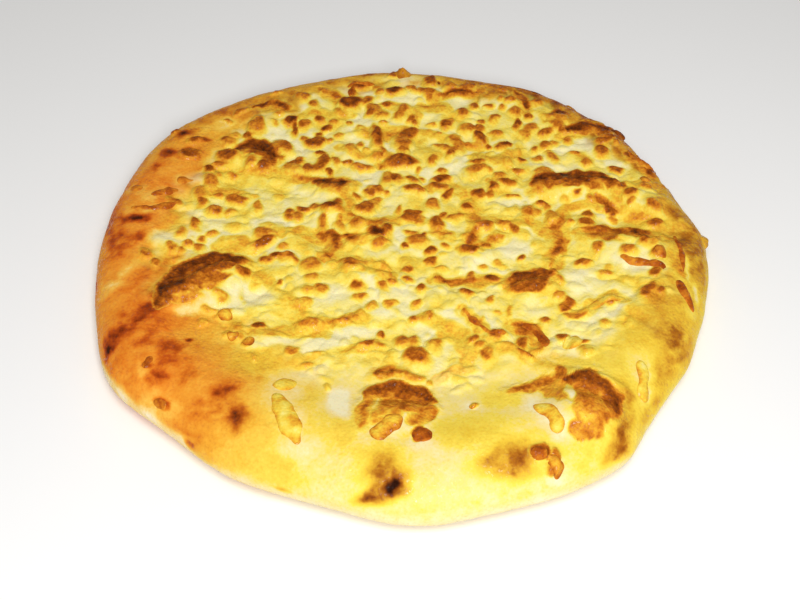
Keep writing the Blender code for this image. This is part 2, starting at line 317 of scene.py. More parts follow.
def noise(x, y, size, seed):
    """Value noise from -1 to 1: random numbers on a lattice of that size in mm,
    joined with smooth steps. The lattice is turned so that it doesn't show."""
    lattice = np.random.default_rng(seed).uniform(-1.0, 1.0, (LATTICE, LATTICE))
    a = (x * 0.8 + y * 0.6) / size + 97.3
    b = (y * 0.8 - x * 0.6) / size + 61.7
    i, j = np.floor(a).astype(int), np.floor(b).astype(int)
    s, t = smooth(0.0, 1.0, a - i), smooth(0.0, 1.0, b - j)
    i0, i1, j0, j1 = i % LATTICE, (i + 1) % LATTICE, j % LATTICE, (j + 1) % LATTICE
    low = lattice[i0, j0] * (1 - s) + lattice[i1, j0] * s
    high = lattice[i0, j1] * (1 - s) + lattice[i1, j1] * s
    return low * (1 - t) + high * t


def layered_noise(x, y, size, seed, layers=3):
    """Noise with finer noise on it: each layer half the size and half the strength.
    The sum is divided by 1.6, which keeps it near -1 to 1."""
    total, strength = 0.0, 1.0
    for layer in range(layers):
        total = total + strength * noise(x, y, size / 2 ** layer, seed + layer)
        strength *= 0.5
    return total / 1.6


def bend(seed):
    """How far places shift, in mm: slow noise of 1.9 mm and fine noise of 0.9 mm."""
    return 1.9 * noise(SHEET_X, SHEET_Y, 9.0, seed) + 0.9 * noise(SHEET_X, SHEET_Y, 3.4, seed + 1)


sheet_angle = np.arctan2(SHEET_Y, SHEET_X)
sheet_reach = np.hypot(SHEET_X, SHEET_Y)
bend_x, bend_y = bend(11), bend(13)
BENT_X, BENT_Y = SHEET_X + bend_x, SHEET_Y + bend_y
SEEN_X, SEEN_Y = seen_from_the_eye(skin_point(sheet_reach, sheet_angle)[0])
SEEN_X, SEEN_Y = SEEN_X + bend_x, SEEN_Y + bend_y
sheet = {name: np.zeros((CELLS, CELLS)) for name in SHEET_LAYERS}
print("the sheet has", CELLS, "x", CELLS, "cells of", CELL, "mm")

# %% [markdown]
# ## Stamps and lines
# Two tools draw on the grid. A stamp fills a turned ellipse, and a line gives
# each cell its distance from a bent path. Each works on a window of the grid
# round its place and not on the whole, which keeps two thousand stamps quick.

# %% Tools for drawing on the sheet
# How far the bend alone, or the line of sight too, may carry a place
BEND_MARGIN, SIGHT_MARGIN = 3.0, 14.0


def window(x, y, reach):
    """The cells of the sheet within reach of a place."""
    low_x, high_x = (int((v + SHEET_HALF) / CELL) for v in (x - reach, x + reach))
    low_y, high_y = (int((v + SHEET_HALF) / CELL) for v in (y - reach, y + reach))
    return slice(max(low_y, 0), max(high_y + 1, 0)), slice(max(low_x, 0), max(high_x + 1, 0))


def lift_to(layer, cells, values):
    """Lifts a layer to the values wherever they are higher."""
    sheet[layer][cells] = np.maximum(sheet[layer][cells], values)


def stamp(layer, x, y, length, width, turn, value, soft=0.6, top=None, blend=False, seen=False):
    """Raises a layer to value inside a turned ellipse, falling to 0 over the
    outer share `soft` of it. With top the fall is a dome, (1 - d^2)^top. With
    blend the layer is drawn towards the value from whatever it was. With seen
    the ellipse lies on the reading sheet and not on the skin."""
    cells = window(x, y, 0.5 * max(length, width) + (SIGHT_MARGIN if seen else BEND_MARGIN))
    here_x, here_y = (SEEN_X, SEEN_Y) if seen else (BENT_X, BENT_Y)
    along, across = in_ellipse(here_x[cells], here_y[cells], x, y, length / 2.0, width / 2.0, turn)
    away = np.hypot(along, across)
    if top is None:
        shape = 1.0 - smooth(1.0 - soft, 1.0, away)
    else:
        shape = np.clip(1.0 - away ** 2, 0.0, 1.0) ** top
    if blend:
        sheet[layer][cells] += (value - sheet[layer][cells]) * shape
    else:
        lift_to(layer, cells, value * shape)


def line_distance(points, here_x, here_y):
    """Distance from a line of points, the side of its nearest stretch, and the
    share of the whole line at which that lies."""
    nearest = None
    for number, (start, end) in enumerate(zip(points[:-1], points[1:])):
        away, side, share = from_line(here_x, here_y, start, end)
        found = (away, side, (number + share) / (len(points) - 1))
        if nearest is None:
            nearest = found
        else:
            nearer = away < nearest[0]
            nearest = tuple(np.where(nearer, new, old) for new, old in zip(found, nearest))
    return nearest


def line_window(points, reach):
    """The cells within reach of a whole line."""
    xs, ys = [p[0] for p in points], [p[1] for p in points]
    half = 0.5 * max(max(xs) - min(xs), max(ys) - min(ys)) + reach
    return window(0.5 * (max(xs) + min(xs)), 0.5 * (max(ys) + min(ys)), half)


small_window = window(0.0, 0.0, 5.0 + BEND_MARGIN)
print("a stamp 10 mm wide touches", sheet["relief"][small_window].size, "of", CELLS ** 2, "cells")

# %% [markdown]
# ## Where the cheese lies
# The cheese covers the middle and thins out towards the rim. Its edge was
# read at a number of angles. On the near side it hardly shows, because egg
# wash and butter run over it, so there the change is slow.

# %% Cheese cover
# angle in degrees, and distance from the middle
CHEESE_EDGE = (
    (0, 131), (15, 133), (30, 134), (45, 133), (60, 137), (75, 137), (90, 137), (105, 134),
    (120, 130), (135, 125), (150, 124), (165, 121), (180, 116), (195, 110), (210, 102), (222, 95),
    (235, 88), (250, 82), (265, 80), (280, 82), (295, 88), (310, 96), (325, 108), (340, 120), (352, 130),
)


def round_the_rim(readings):
    """Readings at angles in degrees, joined by straight lines round the loaf."""
    angles, values = zip(*readings)
    return np.interp(sheet_angle, np.radians(angles), values, period=2 * math.pi)


wobble = 13.0 * layered_noise(SHEET_X, SHEET_Y, 22.0, 21, 4) + 5.0 * layered_noise(BENT_X, BENT_Y, 6.0, 25)
near_side = fatness(sheet_angle) ** 2
fade = 10.0 + 12.0 * near_side
sheet["cheese"] = 1.0 - smooth(-fade, fade, sheet_reach - round_the_rim(CHEESE_EDGE) - wobble)
print("cheese covers", round(float((sheet["cheese"] > 0.5).sum() * CELL ** 2 / 100.0)), "square cm")

# %% [markdown]
# ## Browned blisters and drops of cheese
# Grated cheese melts into drops and threads. Each stands up a little and
# browns on its crest, with an orange and then a yellow border round it. Large
# and telling spots are listed one by one, and how brown they are runs from 0 to
# 1. The rest follow a rule further on.
#
# First come the folds. A fold is a path along its crest, with a slow slope
# towards the viewer and a short one behind.

# %% Folds with browned crests
FOLD_BROWN = 0.86
FOLD_MARGIN = 16.0
# A fold whose brown runs further than this is a main one
WIDE_BROWN = 8
FOLDS = (
    # line of the crest, rise, near and far width, how brown, and how far the brown runs nearer
    (((-116, -38), (-112, -26), (-107, -16), (-98, -8), (-88, -5), (-78, -7)), 2.4, 14, 3.0, 1.00, 11),
    (((-14, -93), (-8, -88), (2, -87), (10, -90), (15, -97)), 2.0, 12, 2.0, 0.90, 9),
    (((-12, -79), (-5, -77), (4, -79)), 1.2, 5, 2.0, 0.74, 5),
    (((-12, -94), (-15, -102), (-17, -110)), 0.8, 4, 2.0, 0.86, 4),
    (((74, -84), (83, -81), (90, -85), (96, -94), (95, -103)), 2.2, 12, 2.5, 0.95, 9),
    (((50, -90), (60, -87), (68, -82), (74, -84)), 1.5, 7, 2.0, 0.70, 5),
    (((62, -75), (70, -72), (87, -79), (97, -90)), 1.4, 6, 3.0, 0.30, 4),
    (((53, -20), (60, -18), (68, -16), (73, -18)), 2.4, 12, 2.0, 0.95, 9),
    (((68, 48), (78, 54), (91, 57), (103, 54), (111, 47)), 2.6, 10, 2.0, 1.00, 9),
    (((-88, 76), (-82, 81), (-74, 81), (-67, 74), (-65, 65)), 2.2, 9, 2.4, 1.00, 9),
    (((90, 93), (100, 97), (114, 95)), 1.8, 6, 2.0, 0.95, 9),
    (((92, 13), (101, 14), (110, 12)), 2.4, 9, 2.0, 0.80, 9),
    (((113, 13), (122, 11), (130, 10), (135, 6)), 2.2, 8, 2.0, 0.92, 6),
    (((135, 7), (137, -4), (137, -20)), 1.4, 5, 2.0, 0.70, 3),
    (((-28, 9), (-19, 10), (-13, 14), (-7, 12)), 1.6, 6, 1.6, 0.93, 6),
    (((-22, 21), (-12, 20), (-7, 22), (-1, 21)), 1.3, 5, 1.6, 0.82, 4),
    (((73, -11), (76, 2), (79, 12), (81, 24)), 1.2, 3, 3.0, 0.82, 5),
    (((100, 40), (104, 34), (110, 27)), 1.0, 3, 3.0, 0.95, 4),
    (((34, 5), (38, 16), (37, 31)), 1.3, 3, 3.0, 0.72, 4),
    (((-45, 49), (-36, 51), (-27, 50)), 1.6, 7, 1.8, 0.95, 7),
    (((-41, 12), (-33, 8), (-31, 0), (-35, -6)), 1.4, 5, 2.5, 0.92, 6),
    (((54, -50), (63, -53), (65, -64)), 1.4, 5, 2.0, 0.88, 6),
    (((18, 18), (20, 12), (26, 9)), 1.2, 4, 2.0, 0.82, 4),
    (((18, -19), (26, -22), (34, -21)), 1.3, 6, 1.8, 0.76, 4),
    (((34, -21), (42, -20), (49, -21)), 1.1, 5, 1.8, 0.50, 3),
    (((8, 91), (22, 86), (32, 81), (42, 78)), 1.3, 6, 1.8, 0.56, 3),
    (((30, -42), (34, -47), (38, -53)), 1.0, 4, 2.0, 0.74, 4),
    (((-82, 111), (-72, 117), (-60, 113)), 1.8, 7, 2.0, 0.88, 5),
    (((-47, 132), (-40, 127), (-33, 120)), 1.3, 6, 2.0, 0.82, 5),
    (((64, 129), (69, 122), (72, 110)), 1.3, 5, 2.0, 0.82, 4),
    (((21, 122), (32, 127), (42, 125), (47, 132)), 1.4, 6, 2.0, 0.84, 5),
    (((-7, 115), (2, 111), (10, 103)), 1.3, 5, 2.0, 0.80, 4),
    (((11, 112), (18, 114), (26, 113)), 1.0, 4, 1.8, 0.70, 4),
    (((80, 103), (87, 110), (94, 105)), 1.6, 7, 2.0, 0.88, 6),
    (((-64, 58), (-55, 54), (-42, 50)), 1.5, 6, 2.0, 0.76, 4),
    (((120, 74), (126, 66), (133, 55)), 1.8, 6, 2.5, 0.90, 6),
    (((-88, 5), (-80, 7), (-73, 4)), 1.0, 5, 2.0, 0.60, 6),
    (((74, 21), (84, 27), (92, 31), (101, 31), (107, 26)), 2.0, 9, 2.0, 0.46, 3),
    (((31, 1), (40, 4), (50, 9)), 1.8, 8, 1.8, 0.60, 3),
    (((87, -41), (95, -34), (101, -31), (107, -34)), 1.4, 8, 1.8, 0.36, 3),
    (((-67, -19), (-57, -30), (-47, -39)), 1.8, 7, 1.8, 0.50, 3),
    (((-47, -73), (-30, -68), (-12, -62)), 1.2, 6, 2.2, 0.50, 3),
    (((18, -82), (29, -77), (32, -68), (28, -60), (19, -56)), 1.0, 4, 1.8, 0.36, 2),
    (((-31, -9), (-20, -8), (-8, -11), (-3, -18)), 1.4, 9, 1.8, 0.66, 6),
    (((-98, 61), (-84, 60), (-70, 56), (-55, 51)), 1.6, 7, 2.5, 0.52, 3),
    (((118, 47), (127, 48), (137, 45)), 1.8, 9, 2.2, 0.54, 3),
    (((108, 33), (118, 24), (130, 17), (142, 14)), 1.6, 4, 7.0, 0.56, 5),
    (((-47, -49), (-38, -48), (-26, -47), (-18, -45)), 1.2, 6, 2.0, 0.62, 5),
    (((38, -62), (52, -69), (64, -75), (76, -78)), 1.4, 6, 2.4, 0.48, 3),
    (((12, -46), (26, -54), (36, -64)), 1.2, 6, 2.4, 0.40, 3),
    (((2, 93), (-8, 90), (-20, 92)), 1.2, 3, 5.0, 0.55, 3),
    (((-44, 46), (-30, 41), (-24, 32), (-28, 22)), 1.4, 6, 2.0, 0.46, 2),
    (((-62, 12), (-50, 14), (-42, 10)), 1.2, 6, 2.0, 0.40, 3),
    (((40, 22), (52, 18), (64, 20), (74, 14)), 1.3, 7, 2.0, 0.42, 3),
    (((46, 48), (58, 50), (68, 46)), 1.3, 7, 2.0, 0.44, 3),
    (((-30, 78), (-20, 72), (-12, 74), (-2, 70)), 1.3, 6, 2.0, 0.46, 3),
    (((40, 70), (50, 68), (62, 74)), 1.3, 6, 2.0, 0.44, 3),
    (((-100, 44), (-90, 44), (-78, 41)), 1.3, 6, 2.0, 0.50, 4),
    (((-54, 104), (-46, 108), (-36, 106), (-28, 108)), 1.4, 6, 2.0, 0.56, 3),
    (((-80, -52), (-66, -55), (-50, -54), (-36, -57)), 1.2, 7, 2.0, 0.42, 2),
    (((14, 44), (24, 46), (32, 40)), 1.2, 6, 2.0, 0.46, 3),
)


def fold(points, rise, near, far, tone, brown_near):
    """A fold along a line: height falls slowly over `near` mm on the line's
    right side, which faces the viewer, and faster on its left. The brown is
    deepest on the line and fades the same way, further on the near side. It
    is laid as it is seen, so that it covers a blister on both sides of its crest.
    A fold with a wide brown is a main one: higher, and browned without a gap."""
    main = brown_near > WIDE_BROWN
    cells = line_window(points, max(near, brown_near * 1.6, far) + FOLD_MARGIN)
    skin_line = [place_on_skin(x, y) for x, y in points]
    away, side, _ = line_distance(skin_line, BENT_X[cells], BENT_Y[cells])
    left = smooth(-0.7, 0.7, side)
    step_width = 2.2 * far * left + 1.4 * near * (1.0 - left)
    step = (0.7 if main else 0.5) * rise * (1.0 - smooth(0.0, 1.0, away / step_width))
    lift_to("relief", cells, step)
    away, side, run = line_distance(points, SEEN_X[cells], SEEN_Y[cells])
    left = smooth(-0.7, 0.7, side)
    here_x, here_y = SHEET_X[cells], SHEET_Y[cells]
    mottle = 1.0 + 0.5 * layered_noise(here_x, here_y, 7.0, 15)
    broken = 1.0 if main else 0.85 + 0.4 * noise(here_x, here_y, 8.0, 17)
    taper = 1.0 - 0.6 * np.abs(2.0 * run - 1.0) ** 4
    brown_width = (1.5 * far * left + 1.15 * brown_near * mottle * (1.0 - left)) * taper
    share = away / brown_width
    crest = 1.0 - 0.30 * smooth(0.15, 0.6, share)
    lift_to("brown", cells, FOLD_BROWN * tone * broken * crest * (1.0 - smooth(0.7, 1.15, share)))
    gold_width = (far + 2.0) * left + (brown_near + 2.0) * (1.0 - left)
    lift_to("gold", cells, 0.36 * (1.0 - smooth(0.65, 1.2, away / gold_width)))


for points, rise, near, far, tone, brown_near in FOLDS:
    fold(points, rise, near, far, tone, brown_near)
print("laid", len(FOLDS), "folds")

# %% [markdown]
# The tops of the largest blisters browned in patches with ragged edges. Each
# patch is a few ellipses that run together: x, y, length, width, turn, how
# brown and how soft its edge is. They are laid as they are seen too. The skin
# stayed paler in a few holes.

# %% Browned patches on the blisters
PATCH_BROWN, PATCH_GOLD, GOLD_BORDER = 0.86, 0.40, 6.0
BROWNED_PATCHES = (
    # the near left blister: browned, darker at its far edge partly as painted shade, and orange in front
    (-95, -13, 34, 13, 14, 0.86, 0.5), (-108, -22, 12, 20, -20, 0.86, 0.5),
    (-84, -11, 18, 11, -10, 0.80, 0.5), (-112, -36, 12, 15, -12, 0.88, 0.5),
    (-96, -19, 32, 16, 16, 0.74, 0.4), (-103, -28, 26, 18, 20, 0.66, 0.35),
    (-88, -21, 20, 17, 8, 0.64, 0.4), (-102, -35, 26, 10, 12, 0.60, 0.5),
    (-77, -10, 8, 6, -30, 0.66, 0.7), (-75, -17, 6, 9, 10, 0.58, 0.7),
    # the near middle blister
    (0, -91, 26, 10, 2, 0.88, 0.5), (7, -97, 20, 15, -14, 0.70, 0.4), (12, -103, 13, 13, 10, 0.60, 0.4),
    (-4, -99, 18, 15, 24, 0.66, 0.5), (-11, -105, 10, 12, 20, 0.58, 0.6), (-5, -79, 16, 6, 4, 0.76, 0.6),
    (9, -114, 10, 11, 0, 0.76, 0.4), (15, -97, 6, 8, 0, 0.84, 0.6), (8, -105, 16, 15, 0, 0.58, 0.6),
    # the near right blister, a star round a pale hole
    (86, -87, 20, 10, -20, 0.76, 0.4), (93, -97, 10, 17, 10, 0.88, 0.5), (84, -101, 22, 23, 10, 0.64, 0.3),
    (80, -111, 17, 17, 0, 0.62, 0.3), (80, -92, 24, 12, -10, 0.64, 0.4), (69, -89, 18, 14, 20, 0.58, 0.35),
    (57, -90, 18, 6, 4, 0.64, 0.4), (71, -80, 9, 11, 0, 0.68, 0.4), (92, -90, 12, 10, -30, 0.80, 0.5),
    # right of the middle, far right, far left
    (61, -24, 25, 15, 8, 0.76, 0.35), (69, -20, 9, 11, 0, 0.90, 0.6), (90, 53, 34, 11, 0, 0.90, 0.5),
    (98, 46, 20, 9, -14, 0.70, 0.6), (100, 8, 22, 10, 4, 0.66, 0.6), (-76, 75, 20, 11, -14, 0.88, 0.6),
    (-67, 67, 9, 13, -10, 0.80, 0.6), (2, 66, 20, 9, 0, 0.78, 0.6), (-9, 63, 10, 8, 0, 0.66, 0.7),
)
PALE_HOLES = (
    (75, -91, 6, 9, 0, 0.0), (-80, -24, 16, 10, 8, 0.0), (-78, 71, 12, 6, -10, 0.0),
    (80, -104, 10, 9, 0, 0.42), (-7, -102, 13, 12, 30, 0.44), (-104, -32, 12, 6, 14, 0.44),
)
for x, y, length, width, turn, tone, soft in BROWNED_PATCHES:
    stamp("brown", x, y, length, width, turn, PATCH_BROWN * tone, soft=soft, seen=True)
    stamp("gold", x, y, length + GOLD_BORDER, width + GOLD_BORDER, turn, PATCH_GOLD, soft=0.8, seen=True)
for x, y, length, width, turn, tone in PALE_HOLES:
    stamp("brown", x, y, length, width, turn, tone, soft=0.7, blend=True, seen=True)
print("browned", len(BROWNED_PATCHES), "patches with", len(PALE_HOLES), "holes")

# %% [markdown]
# A drop is small, mostly 3 to 12 mm long, and its crest stands one to three
# and a half millimetres high. The table gives x, y, length, width, turn and
# how brown each is.

# %% Browned drops listed one by one
DROPS = (
    # the middle
    (7, 42, 12, 6, -30, .75), (25, 38, 9, 5, 70, .78), (-13, 34, 8, 6, 30, .55), (-36, 31, 12, 8, 0, .82),
    (-39, 19, 6, 9, 0, .58), (-30, 20, 3, 6, 0, .6), (0, 28, 3, 7, 0, .5), (7, 26, 8, 4, 0, .72),
    (10, 20, 4, 6, 20, .66), (21, 24, 5, 5, 0, .66), (35, 29, 5, 5, 0, .74), (33, 8, 4, 4, 0, .6),
    (20, 18, 5, 6, 0, .7), (7, 11, 6, 3, 0, .66), (13, 8, 3, 6, 0, .7), (2, 2, 5, 4, 20, .72),
    (14, -1, 5, 5, 0, .76), (15, -8, 6, 6, 0, .72), (22, 2, 6, 3, -30, .62), (35, -1, 8, 6, 0, .86),
    (49, -10, 4, 5, 0, .52), (40, -13, 4, 3, 0, .45), (-24, -12, 10, 8, 0, .62), (-8, -12, 8, 3, -30, .5),
    (-44, -11, 8, 8, 0, .56), (4, -14, 5, 3, 0, .72), (5, -20, 5, 3, 0, .72), (43, -21, 7, 4, -20, .78),
    (-20, -26, 6, 6, 0, .7), (-20, -34, 5, 5, 0, .64), (-8, -27, 5, 5, 0, .62), (11, -27, 5, 6, 0, .72),
    (31, -31, 6, 6, 0, .72), (9, -36, 5, 4, 40, .6), (43, -36, 3, 4, 0, .64), (-44, -28, 5, 5, 0, .48),
    (-44, -36, 5, 5, 0, .48), (-13, -39, 5, 5, 0, .5), (6, -47, 4, 5, -30, .64), (47, -43, 3, 3, 0, .5),
    (52, -43, 3, 8, 0, .5), (-43, -50, 12, 6, 10, .6), (-27, -49, 8, 3, -20, .66),
    (-20, -47, 4, 3, 0, .55), (-15, -62, 8, 5, 20, .7), (-8, -62, 5, 4, 0, .5), (2, -61, 6, 7, 0, .62),
    (17, -64, 7, 9, 0, .52), (8, -71, 12, 9, -30, .72), (-31, -88, 4, 5, 0, .34), (9, -83, 6, 4, 0, .5),
    (27, -84, 5, 5, 0, .34), (-52, 24, 5, 7, 0, .6), (-49, 29, 6, 5, 0, .72), (-7, 41, 3, 4, 0, .62),
    (-17, 33, 4, 4, 0, .55), (-25, 21, 3, 3, 0, .4), (28, 20, 3, 3, 0, .35), (-36, 12, 4, 4, 0, .5),
    # near right
    (88, -11, 8, 6, 20, .68), (75, -33, 6, 5, 0, .62), (81, -45, 7, 5, 10, .56), (68, -49, 5, 4, 0, .68),
    (94, -50, 6, 6, 0, .45), (75, -59, 5, 6, 0, .72), (84, -61, 5, 4, 0, .7), (85, -67, 8, 8, 0, .42),
    (57, -70, 9, 5, -30, .72), (44, -58, 10, 6, 0, .76), (40, -69, 6, 6, 0, .62),
    (50, -65, 10, 4, -10, .5), (62, -67, 6, 4, 0, .5), (71, 33, 7, 4, 0, .74), (56, 38, 8, 3, 0, .62),
    (69, 27, 4, 4, 0, .55), (85, 36, 4, 5, 0, .5), (90, 41, 4, 3, 0, .7), (100, -13, 4, 4, 0, .42),
    (119, -26, 3, 3, 0, .62), (32, -99, 4, 4, 0, .6), (58, -124, 8, 6, 10, .8), (64, -130, 7, 12, 0, .6),
    (112, -2, 8, 6, 0, .66), (127, -3, 7, 8, 0, .72), (60, 10, 8, 6, 0, .32), (66, 4, 4, 5, 0, .3),
    (56, 28, 8, 6, 0, .36), (108, 20, 5, 3, 0, .6),
    # far right
    (71, 104, 5, 4, 0, .74), (64, 97, 4, 9, -10, .74), (62, 119, 6, 5, 0, .7), (52, 101, 6, 5, 0, .62),
    (55, 80, 7, 4, 0, .8), (83, 81, 5, 4, 0, .6), (91, 83, 5, 5, 0, .6), (87, 92, 5, 6, 0, .66),
    (112, 87, 8, 5, -20, .72), (116, 81, 5, 5, 0, .7), (108, 74, 7, 7, 0, .72), (92, 71, 6, 4, 0, .62),
    (97, 65, 8, 4, 0, .66), (55, 65, 7, 6, 0, .5), (71, 67, 5, 5, 0, .5), (113, 59, 6, 5, 0, .74),
    (86, 102, 10, 9, 0, .6), (127, 50, 7, 4, 0, .42), (76, 118, 8, 5, 0, .7), (103, 104, 8, 6, -40, .72),
    (96, 112, 9, 6, -40, .82), (120, 94, 10, 6, -50, .82), (80, 73, 4, 4, 0, .5), (63, 75, 4, 4, 0, .44),
    (48, 73, 4, 3, 0, .4),
    # far middle
    (-3, 128, 11, 6, 0, .86), (-27, 116, 12, 11, 0, .86), (-12, 127, 5, 4, 0, .62),
    (-22, 133, 14, 5, 4, .78), (-27, 127, 4, 9, 0, .7), (-34, 109, 5, 5, 0, .55), (-11, 105, 8, 7, 0, .6),
    (35, 107, 9, 7, 20, .7), (42, 113, 5, 4, 0, .64), (-44, 101, 6, 4, 0, .72), (-37, 99, 5, 4, 0, .6),
    (-28, 98, 4, 4, 0, .66), (-21, 95, 4, 3, 0, .6), (25, 97, 7, 9, 0, .76), (17, 97, 4, 4, 0, .55),
    (38, 92, 6, 5, 0, .66), (44, 99, 6, 3, 0, .72), (-12, 86, 6, 18, 8, .76), (3, 75, 5, 9, 10, .66),
    (-43, 73, 8, 5, 0, .76), (27, 73, 6, 9, -20, .66), (16, 67, 6, 7, 0, .72), (0, 65, 15, 9, 0, .82),
    (41, 65, 9, 5, 0, .78), (45, 58, 4, 3, 0, .6), (-34, 66, 5, 8, 20, .6), (-20, 61, 10, 5, 0, .68),
    (36, 80, 4, 4, 0, .6), (29, 83, 4, 3, 0, .6), (21, 88, 4, 3, 0, .66), (-48, 82, 6, 6, 0, .76),
    (-33, 88, 5, 4, 0, .6), (22, 51, 8, 5, 0, .84), (5, 52, 5, 3, 0, .7), (12, 53, 4, 3, 0, .6),
    (-9, 75, 4, 8, 0, .66), (-17, 78, 4, 4, 0, .5), (9, 60, 4, 4, 0, .6), (-8, 97, 5, 5, 0, .66),
    (33, 124, 10, 4, 10, .72), (22, 137, 2.4, 2.4, 0, .9), (0, 146, 5, 4, 0, .72), (12, 127, 7, 4, 0, .5),
    (50, 112, 5, 4, 0, .6), (56, 128, 8, 4, -10, .66),
    # far left
    (-121, 90, 6, 5, 30, .78), (-109, 82, 8, 5, 0, .74), (-112, 73, 10, 6, 0, .74),
    (-101, 59, 7, 5, 0, .86), (-94, 63, 9, 4, 0, .66), (-78, 95, 6, 12, 0, .6), (-59, 100, 7, 6, 0, .86),
    (-57, 92, 4, 9, 0, .78), (-95, 99, 8, 3, 0, .66), (-54, 120, 8, 8, 0, .66), (-47, 114, 6, 8, 0, .66),
    (-62, 80, 4, 4, 0, .5), (-53, 69, 5, 4, 0, .74), (-48, 60, 5, 7, 0, .72), (-68, 99, 5, 4, 0, .55),
    (-90, 88, 6, 4, 0, .5), (-38, 84, 5, 3, 0, .6), (-66, 108, 6, 4, 0, .6), (-88, 108, 8, 4, 10, .62),
    (-70, 125, 9, 4, 15, .66),
    # left
    (-102, 17, 4, 9, 25, .66), (-104, 3, 6, 4, 20, .58), (-68, 4, 12, 6, 20, .76), (-56, 2, 5, 4, 0, .5),
    (-57, -6, 12, 5, -20, .7), (-69, -24, 4, 8, 0, .4), (-82, -44, 6, 7, 0, .6), (-90, -51, 6, 5, 0, .42),
    (-64, -51, 6, 5, 0, .74), (-92, 39, 6, 4, 0, .66), (-83, 36, 9, 7, 0, .72), (-94, 27, 8, 6, 0, .66),
    (-74, 31, 4, 8, 0, .55), (-56, 24, 6, 4, -20, .7), (-84, 16, 8, 6, 0, .36), (-66, 16, 8, 5, 0, .34),
    (-62, 38, 6, 5, 0, .4), (-54, -20, 5, 4, 0, .34), (-78, -58, 6, 5, 0, .4), (-73, -58, 6, 7, 0, .5),
    (-68, -62, 5, 6, 0, .5), (-66, -71, 3, 6, 40, .5), (-50, -67, 6, 6, 0, .5), (-38, -68, 8, 3, 10, .44),
    (-43, -75, 6, 3, 0, .5),
)


def drop(x, y, length, width, turn, tone):
    """A melted drop: a low dome, browned on its crest, in a gold border. The brown
    is laid a little behind its crest and the gold a little in front of it: painted
    shade on the far side and painted light on the near side. Its height is
    0.55 mm plus 0.26 times its size, the root of length times width."""
    size = math.sqrt(length * width)
    # The brown moves back and the gold forward by this much: painted shade on the far side, painted light on
    # the near side
    far_shade_shift = 0.08 * width
    gold_length, gold_width = length * 1.7 + 2.4, width * 1.7 + 2.4
    stamp("lumps", x, y, length * 1.45, width * 1.45, turn, 0.55 + 0.26 * size, top=0.7)
    stamp("brown", x, y + far_shade_shift, length * 1.5, width * 1.5, turn, 0.95 * tone, soft=0.58)
    stamp("gold", x, y - far_shade_shift, gold_length, gold_width, turn, 0.24 + 0.22 * tone, soft=0.7)


for x, y, length, width, turn, tone in DROPS:
    drop(*place_on_skin(x, y), length, width, turn, tone)
print("placed", len(DROPS), "drops by hand")

# %% [markdown]
# ## The rest of the cheese
# Between those lies the cheese that hardly browned: low lumps side by side,
# 4 to 14 mm long, with small browned ones among them. They are strewn
# with a seed on a jittered lattice, and left out where a large spot lies. The
# far half browned more than the near half.

# %% Strewn lumps
strew = np.random.default_rng(7)
LUMP_PITCH = 6.8
LUMP_JITTER = 2.6
LUMP_ROWS = range(-26, 27)
CHEESE_ENOUGH, BROWN_ALREADY = 0.45, 0.25
strewn = browned = 0
for row in LUMP_ROWS:
    for column in LUMP_ROWS:
        jitter = strew.uniform(-LUMP_JITTER, LUMP_JITTER, 2)
        x = (column + 0.5 * (row % 2)) * LUMP_PITCH + jitter[0]
        y = row * LUMP_PITCH * 0.87 + jitter[1]
        size, long, turn, luck, shade = strew.uniform(0.0, 1.0, 5)
        cell = int((y + SHEET_HALF) / CELL), int((x + SHEET_HALF) / CELL)
        if not (0 <= cell[0] < CELLS and 0 <= cell[1] < CELLS):
            continue
        if sheet["cheese"][cell] < CHEESE_ENOUGH or sheet["brown"][cell] > BROWN_ALREADY:
            continue
        width = 3.6 + 4.0 * size
        length = width * (1.0 + 0.9 * long)
        far = smooth(-40.0, 100.0, y)
        if luck < 0.10 + 0.28 * far:
            small = 3.2 + (3.4 + 1.8 * far) * size
            tone = 0.50 + 0.24 * shade + 0.06 * far
            drop(x, y, small * (1.0 + 0.6 * long), small, 180.0 * turn, tone)
            browned += 1
        elif luck < 0.62:
            stamp("lumps", x, y, length, width, 180.0 * turn, 0.9 + 0.9 * size, top=0.8)
            stamp("gold", x, y, length, width, 180.0 * turn, 0.08 + 0.22 * shade, soft=0.9)
        else:
            stamp("lumps", x, y, length * 1.6, width * 1.6, 180.0 * turn, 0.6 + 0.8 * size, top=1.2)
        strewn += 1
print("strewed", strewn, "lumps, browned", browned, "of them")

# %% [markdown]
# ## How the crust baked
# Two numbers paint the crust: how far it baked, from raw white flour at 0 to
# charcoal at 1, and how warm the brown is, because the left side went orange
# and the near side stayed yellow with egg. Each was read round the loaf at a
# few angles, and slow clouds of noise break it up.

# %% Baking of the rim
# angle in degrees, and how far it baked or how warm its brown is
RIM_BAKE = (
    (0, 0.50), (20, 0.58), (40, 0.72), (55, 0.70), (75, 0.58), (90, 0.56), (110, 0.58), (130, 0.49),
    (150, 0.47), (170, 0.48), (190, 0.48), (205, 0.51), (220, 0.49), (232, 0.44), (243, 0.32),
    (255, 0.23), (280, 0.19), (300, 0.22), (315, 0.31), (330, 0.37), (345, 0.44),
)
RIM_WARM = (
    (0, 0.05), (30, 0.15), (60, 0.3), (90, 0.25), (120, 0.35), (140, 0.65), (160, 1.0), (215, 1.0),
    (228, 0.85), (240, 0.45), (252, 0.1), (285, 0.0), (310, 0.05), (335, 0.05),
)
clouds = 0.15 * layered_noise(SHEET_X, SHEET_Y, 26.0, 31, 4) + 0.07 * layered_noise(BENT_X, BENT_Y, 7.0, 33)
clouds = clouds + 0.12 * near_side * layered_noise(BENT_X, BENT_Y, 12.0, 37)
sheet["bake"] = round_the_rim(RIM_BAKE) + clouds * (1.0 - 0.5 * near_side)
sheet["warm"] = np.clip(round_the_rim(RIM_WARM) + 0.15 * layered_noise(SHEET_X, SHEET_Y, 30.0, 35), 0.0, 1.0)
print("mean baking", round(float(sheet["bake"].mean()), 3))

